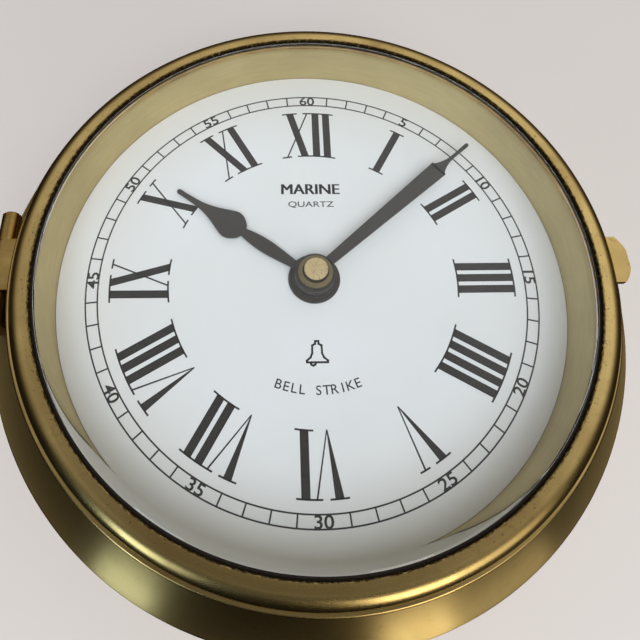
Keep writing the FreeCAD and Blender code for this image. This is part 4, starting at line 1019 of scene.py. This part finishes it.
HUB_BORE_R = 1.75
HUB_FLAT_R = 5.5
HUB_R = 5.6
HUB_BASE_Z = MINUTE_HAND_Z - 0.2
turned(
    "minute_hub_disc",
    [(HUB_BORE_R, HUB_BASE_Z), (HUB_FLAT_R, HUB_BASE_Z), (HUB_R, MINUTE_HAND_Z - 0.1),
     (HUB_R, MINUTE_HAND_Z + 0.4), (HUB_FLAT_R, MINUTE_HAND_Z + HAND_T), (HUB_BORE_R, MINUTE_HAND_Z + HAND_T)],
    HAND_PAINT, "minute_train", (), "hands", segments=96,
)

COLLET_BORE_R = 2.65
FLANGE_R = 7.25
STEP_R = 6.2
PIPE_R = 5.6
COLLET_Z = DIAL_Z + 0.25
FLANGE_TOP_Z = COLLET_Z + 0.6
STEP_TOP_Z = HOUR_HAND_Z + HAND_T
PIPE_TOP_Z = MINUTE_HAND_Z - 0.35
turned(
    "hour_collet",
    [(COLLET_BORE_R, COLLET_Z), (FLANGE_R, COLLET_Z), (FLANGE_R, COLLET_Z + 0.35), (7.2, COLLET_Z + 0.48),
     (7.05, COLLET_Z + 0.57), (6.85, FLANGE_TOP_Z), (6.3, FLANGE_TOP_Z), (STEP_R, COLLET_Z + 0.75),
     (STEP_R, STEP_TOP_Z - HAND_BEVEL), (STEP_R - HAND_BEVEL, STEP_TOP_Z), (PIPE_R, STEP_TOP_Z),
     (PIPE_R, PIPE_TOP_Z - 0.3), (5.52, PIPE_TOP_Z - 0.1), (5.3, PIPE_TOP_Z), (COLLET_BORE_R, PIPE_TOP_Z)],
    HAND_PAINT, "hour_train", ["hour_boss"], "hands", segments=128,
)

# Points of the hand nut in the (r, z) plane: knurled collar, groove, cap and the cap's dome.
NUT_Z = MINUTE_HAND_Z + HAND_T
COLLAR_FOOT_R = 4.65
COLLAR_START = (4.8, NUT_Z + 0.2)
COLLAR_MIDDLE = (4.72, NUT_Z + 0.85)
COLLAR_END = (4.25, NUT_Z + 1.25)
GROOVE_POINTS = [(3.5, NUT_Z + 1.5), (3.5, NUT_Z + 1.25), (3.2, NUT_Z + 1.25), (3.38, NUT_Z + 1.6)]
CAP_START = (3.38, NUT_Z + 2.35)
CAP_MIDDLE = (3.25, NUT_Z + 2.62)
DOME_START = (2.9, NUT_Z + 2.78)
DOME_MIDDLE = (1.6, NUT_Z + 3.06)
DOME_TOP = (0, NUT_Z + 3.15)
KNURLS = 30
KNURL_DEPTH = 0.16 * MM
KNURL_IN_R = 4.2 * MM
KNURL_TOP_Z = (NUT_Z + 1.0) * MM
nut_profile = (
    [(0, NUT_Z), (COLLAR_FOOT_R, NUT_Z), COLLAR_START]
    + through(COLLAR_START, COLLAR_MIDDLE, COLLAR_END, 10)[1:]
    + GROOVE_POINTS + [CAP_START]
    + through(CAP_START, CAP_MIDDLE, DOME_START, 8)[1:]
    + through(DOME_START, DOME_MIDDLE, DOME_TOP, 10)[1:]
)
nut = turned(
    "hand_nut_turned", nut_profile, TURNED_BRASS, "minute_train", ["hand_nut"], "brass_turned",
    closed=False, segments=240,
)
for vertex in nut.data.vertices:
    radius = math.hypot(vertex.co.x, vertex.co.y)
    if radius > KNURL_IN_R and vertex.co.z < KNURL_TOP_Z:
        angle = math.atan2(vertex.co.y, vertex.co.x)
        depth = KNURL_DEPTH * (0.5 + 0.5 * math.cos(angle * KNURLS))
        vertex.co.x *= (radius - depth) / radius
        vertex.co.y *= (radius - depth) / radius


# ---------------------------------------------------------------- finishes of the CAD pieces that stay

FINISH = {
    "brass_plain": PLAIN_BRASS, "brass_bezel": BEZEL_BRASS, "brass_case": CASE_BRASS,
    "brass_inner": INNER_GOLD, "brass_turned": PLAIN_BRASS, "glass": GLASS, "gasket": RUBBER, "dial": ENAMEL,
    "hands": HAND_PAINT, "steel": STEEL, "yoke_iron": YOKE, "black_plastic": BLACK_PLASTIC,
    "ivory_plastic": IVORY_PLASTIC, "magnet": MAGNET, "copper": COPPER, "board": BOARD, "chip": CHIP_PLASTIC,
    "cell": SLEEVE, "nickel": NICKEL,
}
for entry in frame["record"]["subparts"]:
    node = frame["nodes"][entry["node"]]
    node.data.materials.clear()
    node.data.materials.append(FINISH[entry["material_slot"]])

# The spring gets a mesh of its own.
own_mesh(frame["nodes"]["button_spring"])


# ---------------------------------------------------------------- floor, light and camera

FLOOR_SIZE = 6.0
FLOOR_Z = -0.0003


def floor():
    """Plain pale floor just under the clock, which metal and glass do not mirror."""
    bpy.ops.mesh.primitive_plane_add(size=FLOOR_SIZE, location=(0, 0, FLOOR_Z))
    plane = bpy.context.object
    plane.name = "floor"
    s = Shader("pale_floor")
    cloud = s.noise(s.place, 3.0, 4.0)
    s.set(Base_Color=s.mix(cloud, rgb(214, 206, 196), rgb(222, 215, 206)), Roughness=0.7)
    plane.data.materials.append(s.material)
    plane.visible_glossy = False


# Height that all lamps face, in metres.
LAMPS_AIM_Z = 0.04


def softbox(name, azimuth, elevation, distance, width, height, power, colour):
    """Rectangular lamp in the direction of a clock azimuth and elevation, facing the clock."""
    a = math.radians(90 - azimuth)
    e = math.radians(elevation)
    direction = Vector((math.cos(a) * math.cos(e), math.sin(a) * math.cos(e), math.sin(e)))
    lamp = bpy.data.lights.new(name, "AREA")
    lamp.shape = "RECTANGLE"
    lamp.size = width
    lamp.size_y = height
    lamp.energy = power
    lamp.color = colour
    holder = bpy.data.objects.new(name, lamp)
    bpy.context.scene.collection.objects.link(holder)
    holder.location = direction * distance + Vector((0, 0, LAMPS_AIM_Z))
    holder.rotation_euler = direction.to_track_quat("Z", "Y").to_euler()
    holder.visible_camera = False
    return holder

floor()
WINDOW_ELEVATION = 16.0
WINDOW_DISTANCE = 2.0
WINDOW_HEIGHT = 1.15
for name, azimuth, width, power, colour in (
    ("window_right", 157.0, 0.50, 6.6, (1.0, 0.95, 0.82)),
    ("window_far_right", 139.0, 0.9, 3.2, (1.0, 0.95, 0.84)),
    ("window_left", 219.0, 0.46, 5.4, (0.66, 0.84, 1.0)),
):
    softbox(name, azimuth, WINDOW_ELEVATION, WINDOW_DISTANCE, width, WINDOW_HEIGHT, power, colour)
daylight = softbox(
    "daylight", azimuth=172.0, elevation=62.0, distance=2.2, width=1.9, height=1.9, power=48.0,
    colour=(0.95, 0.98, 1.09),
)
daylight.visible_glossy = False
daylight.visible_transmission = False

# Height of a direction over the horizon, 0 to 1, against the colour of the room there.
CEILING = (
    (0.0, (0.018, 0.011, 0.005)), (0.15, (0.030, 0.020, 0.010)), (0.40, (0.20, 0.19, 0.17)),
    (0.60, (0.66, 0.66, 0.66)), (0.86, (0.74, 0.74, 0.74)), (0.95, (0.30, 0.29, 0.28)),
    (1.0, (0.14, 0.13, 0.12)),
)
# How the room brightens along Y and X: axis, from, to, and the brightness at the two ends.
ROOM_SIDES = (("Y", -0.60, 0.30, 0.10, 1.0), ("X", -0.60, 0.60, 0.60, 1.12))
BACKDROP = (0.62, 0.60, 0.58, 1.0)


def room():
    """Soft surroundings that metal mirrors: dark near the floor, pale above it and dim overhead.

    Where the camera looks past the clock, directly or through the glass, it sees a pale backdrop instead.
    """
    world = bpy.data.worlds.new("room")
    world.use_nodes = True
    tree = world.node_tree

    def calculate(operation, *values):
        node = tree.nodes.new("ShaderNodeMath")
        node.operation = operation
        for socket, value in zip(node.inputs, values):
            if isinstance(value, float):
                socket.default_value = value
            else:
                tree.links.new(value, socket)
        return node.outputs[0]

    place = tree.nodes.new("ShaderNodeTexCoord")
    axes = tree.nodes.new("ShaderNodeSeparateXYZ")
    tree.links.new(place.outputs["Generated"], axes.inputs[0])
    shade = tree.nodes.new("ShaderNodeValToRGB")
    elements = shade.color_ramp.elements
    while len(elements) < len(CEILING):
        elements.new(0.5)
    for element, (height, colour) in zip(elements, CEILING):
        element.position = height
        element.color = (*colour, 1.0)
    tree.links.new(axes.outputs["Z"], shade.inputs[0])
    sides = []
    for axis, low, high, to_low, to_high in ROOM_SIDES:
        side = tree.nodes.new("ShaderNodeMapRange")
        for key, number in (("From Min", low), ("From Max", high), ("To Min", to_low), ("To Max", to_high)):
            side.inputs[key].default_value = number
        tree.links.new(axes.outputs[axis], side.inputs["Value"])
        sides.append(side.outputs["Result"])
    background = tree.nodes["Background"]
    tree.links.new(shade.outputs[0], background.inputs[0])
    tree.links.new(calculate("MULTIPLY", *sides), background.inputs[1])
    path = tree.nodes.new("ShaderNodeLightPath")
    unscattered = calculate("LESS_THAN", path.outputs["Diffuse Depth"], 0.5)
    through_glass = calculate("MULTIPLY", path.outputs["Is Transmission Ray"], unscattered)
    seen = calculate("MAXIMUM", path.outputs["Is Camera Ray"], through_glass)
    backdrop = tree.nodes.new("ShaderNodeBackground")
    backdrop.inputs["Color"].default_value = BACKDROP
    mixed = tree.nodes.new("ShaderNodeMixShader")
    for socket, source in zip(mixed.inputs, (seen, background.outputs[0], backdrop.outputs[0])):
        tree.links.new(source, socket)
    tree.links.new(mixed.outputs[0], tree.nodes["World Output"].inputs["Surface"])
    bpy.context.scene.world = world


room()

CAMERA_PLACE = (-0.0132, -0.0552, 0.1892)
CAMERA_ANGLES = (24.05, -1.92, -1.19)
camera_data = bpy.data.cameras.new("camera")
camera_data.sensor_width = 36.0
camera_data.lens = 31.16
camera_data.shift_x = 0.049
camera_data.shift_y = -0.113
camera_data.clip_start = 0.01
camera = bpy.data.objects.new("camera", camera_data)
bpy.context.scene.collection.objects.link(camera)
camera.location = CAMERA_PLACE
camera.rotation_euler = tuple(math.radians(angle) for angle in CAMERA_ANGLES)
bpy.context.scene.camera = camera
bpy.context.scene.view_settings.view_transform = "Standard"
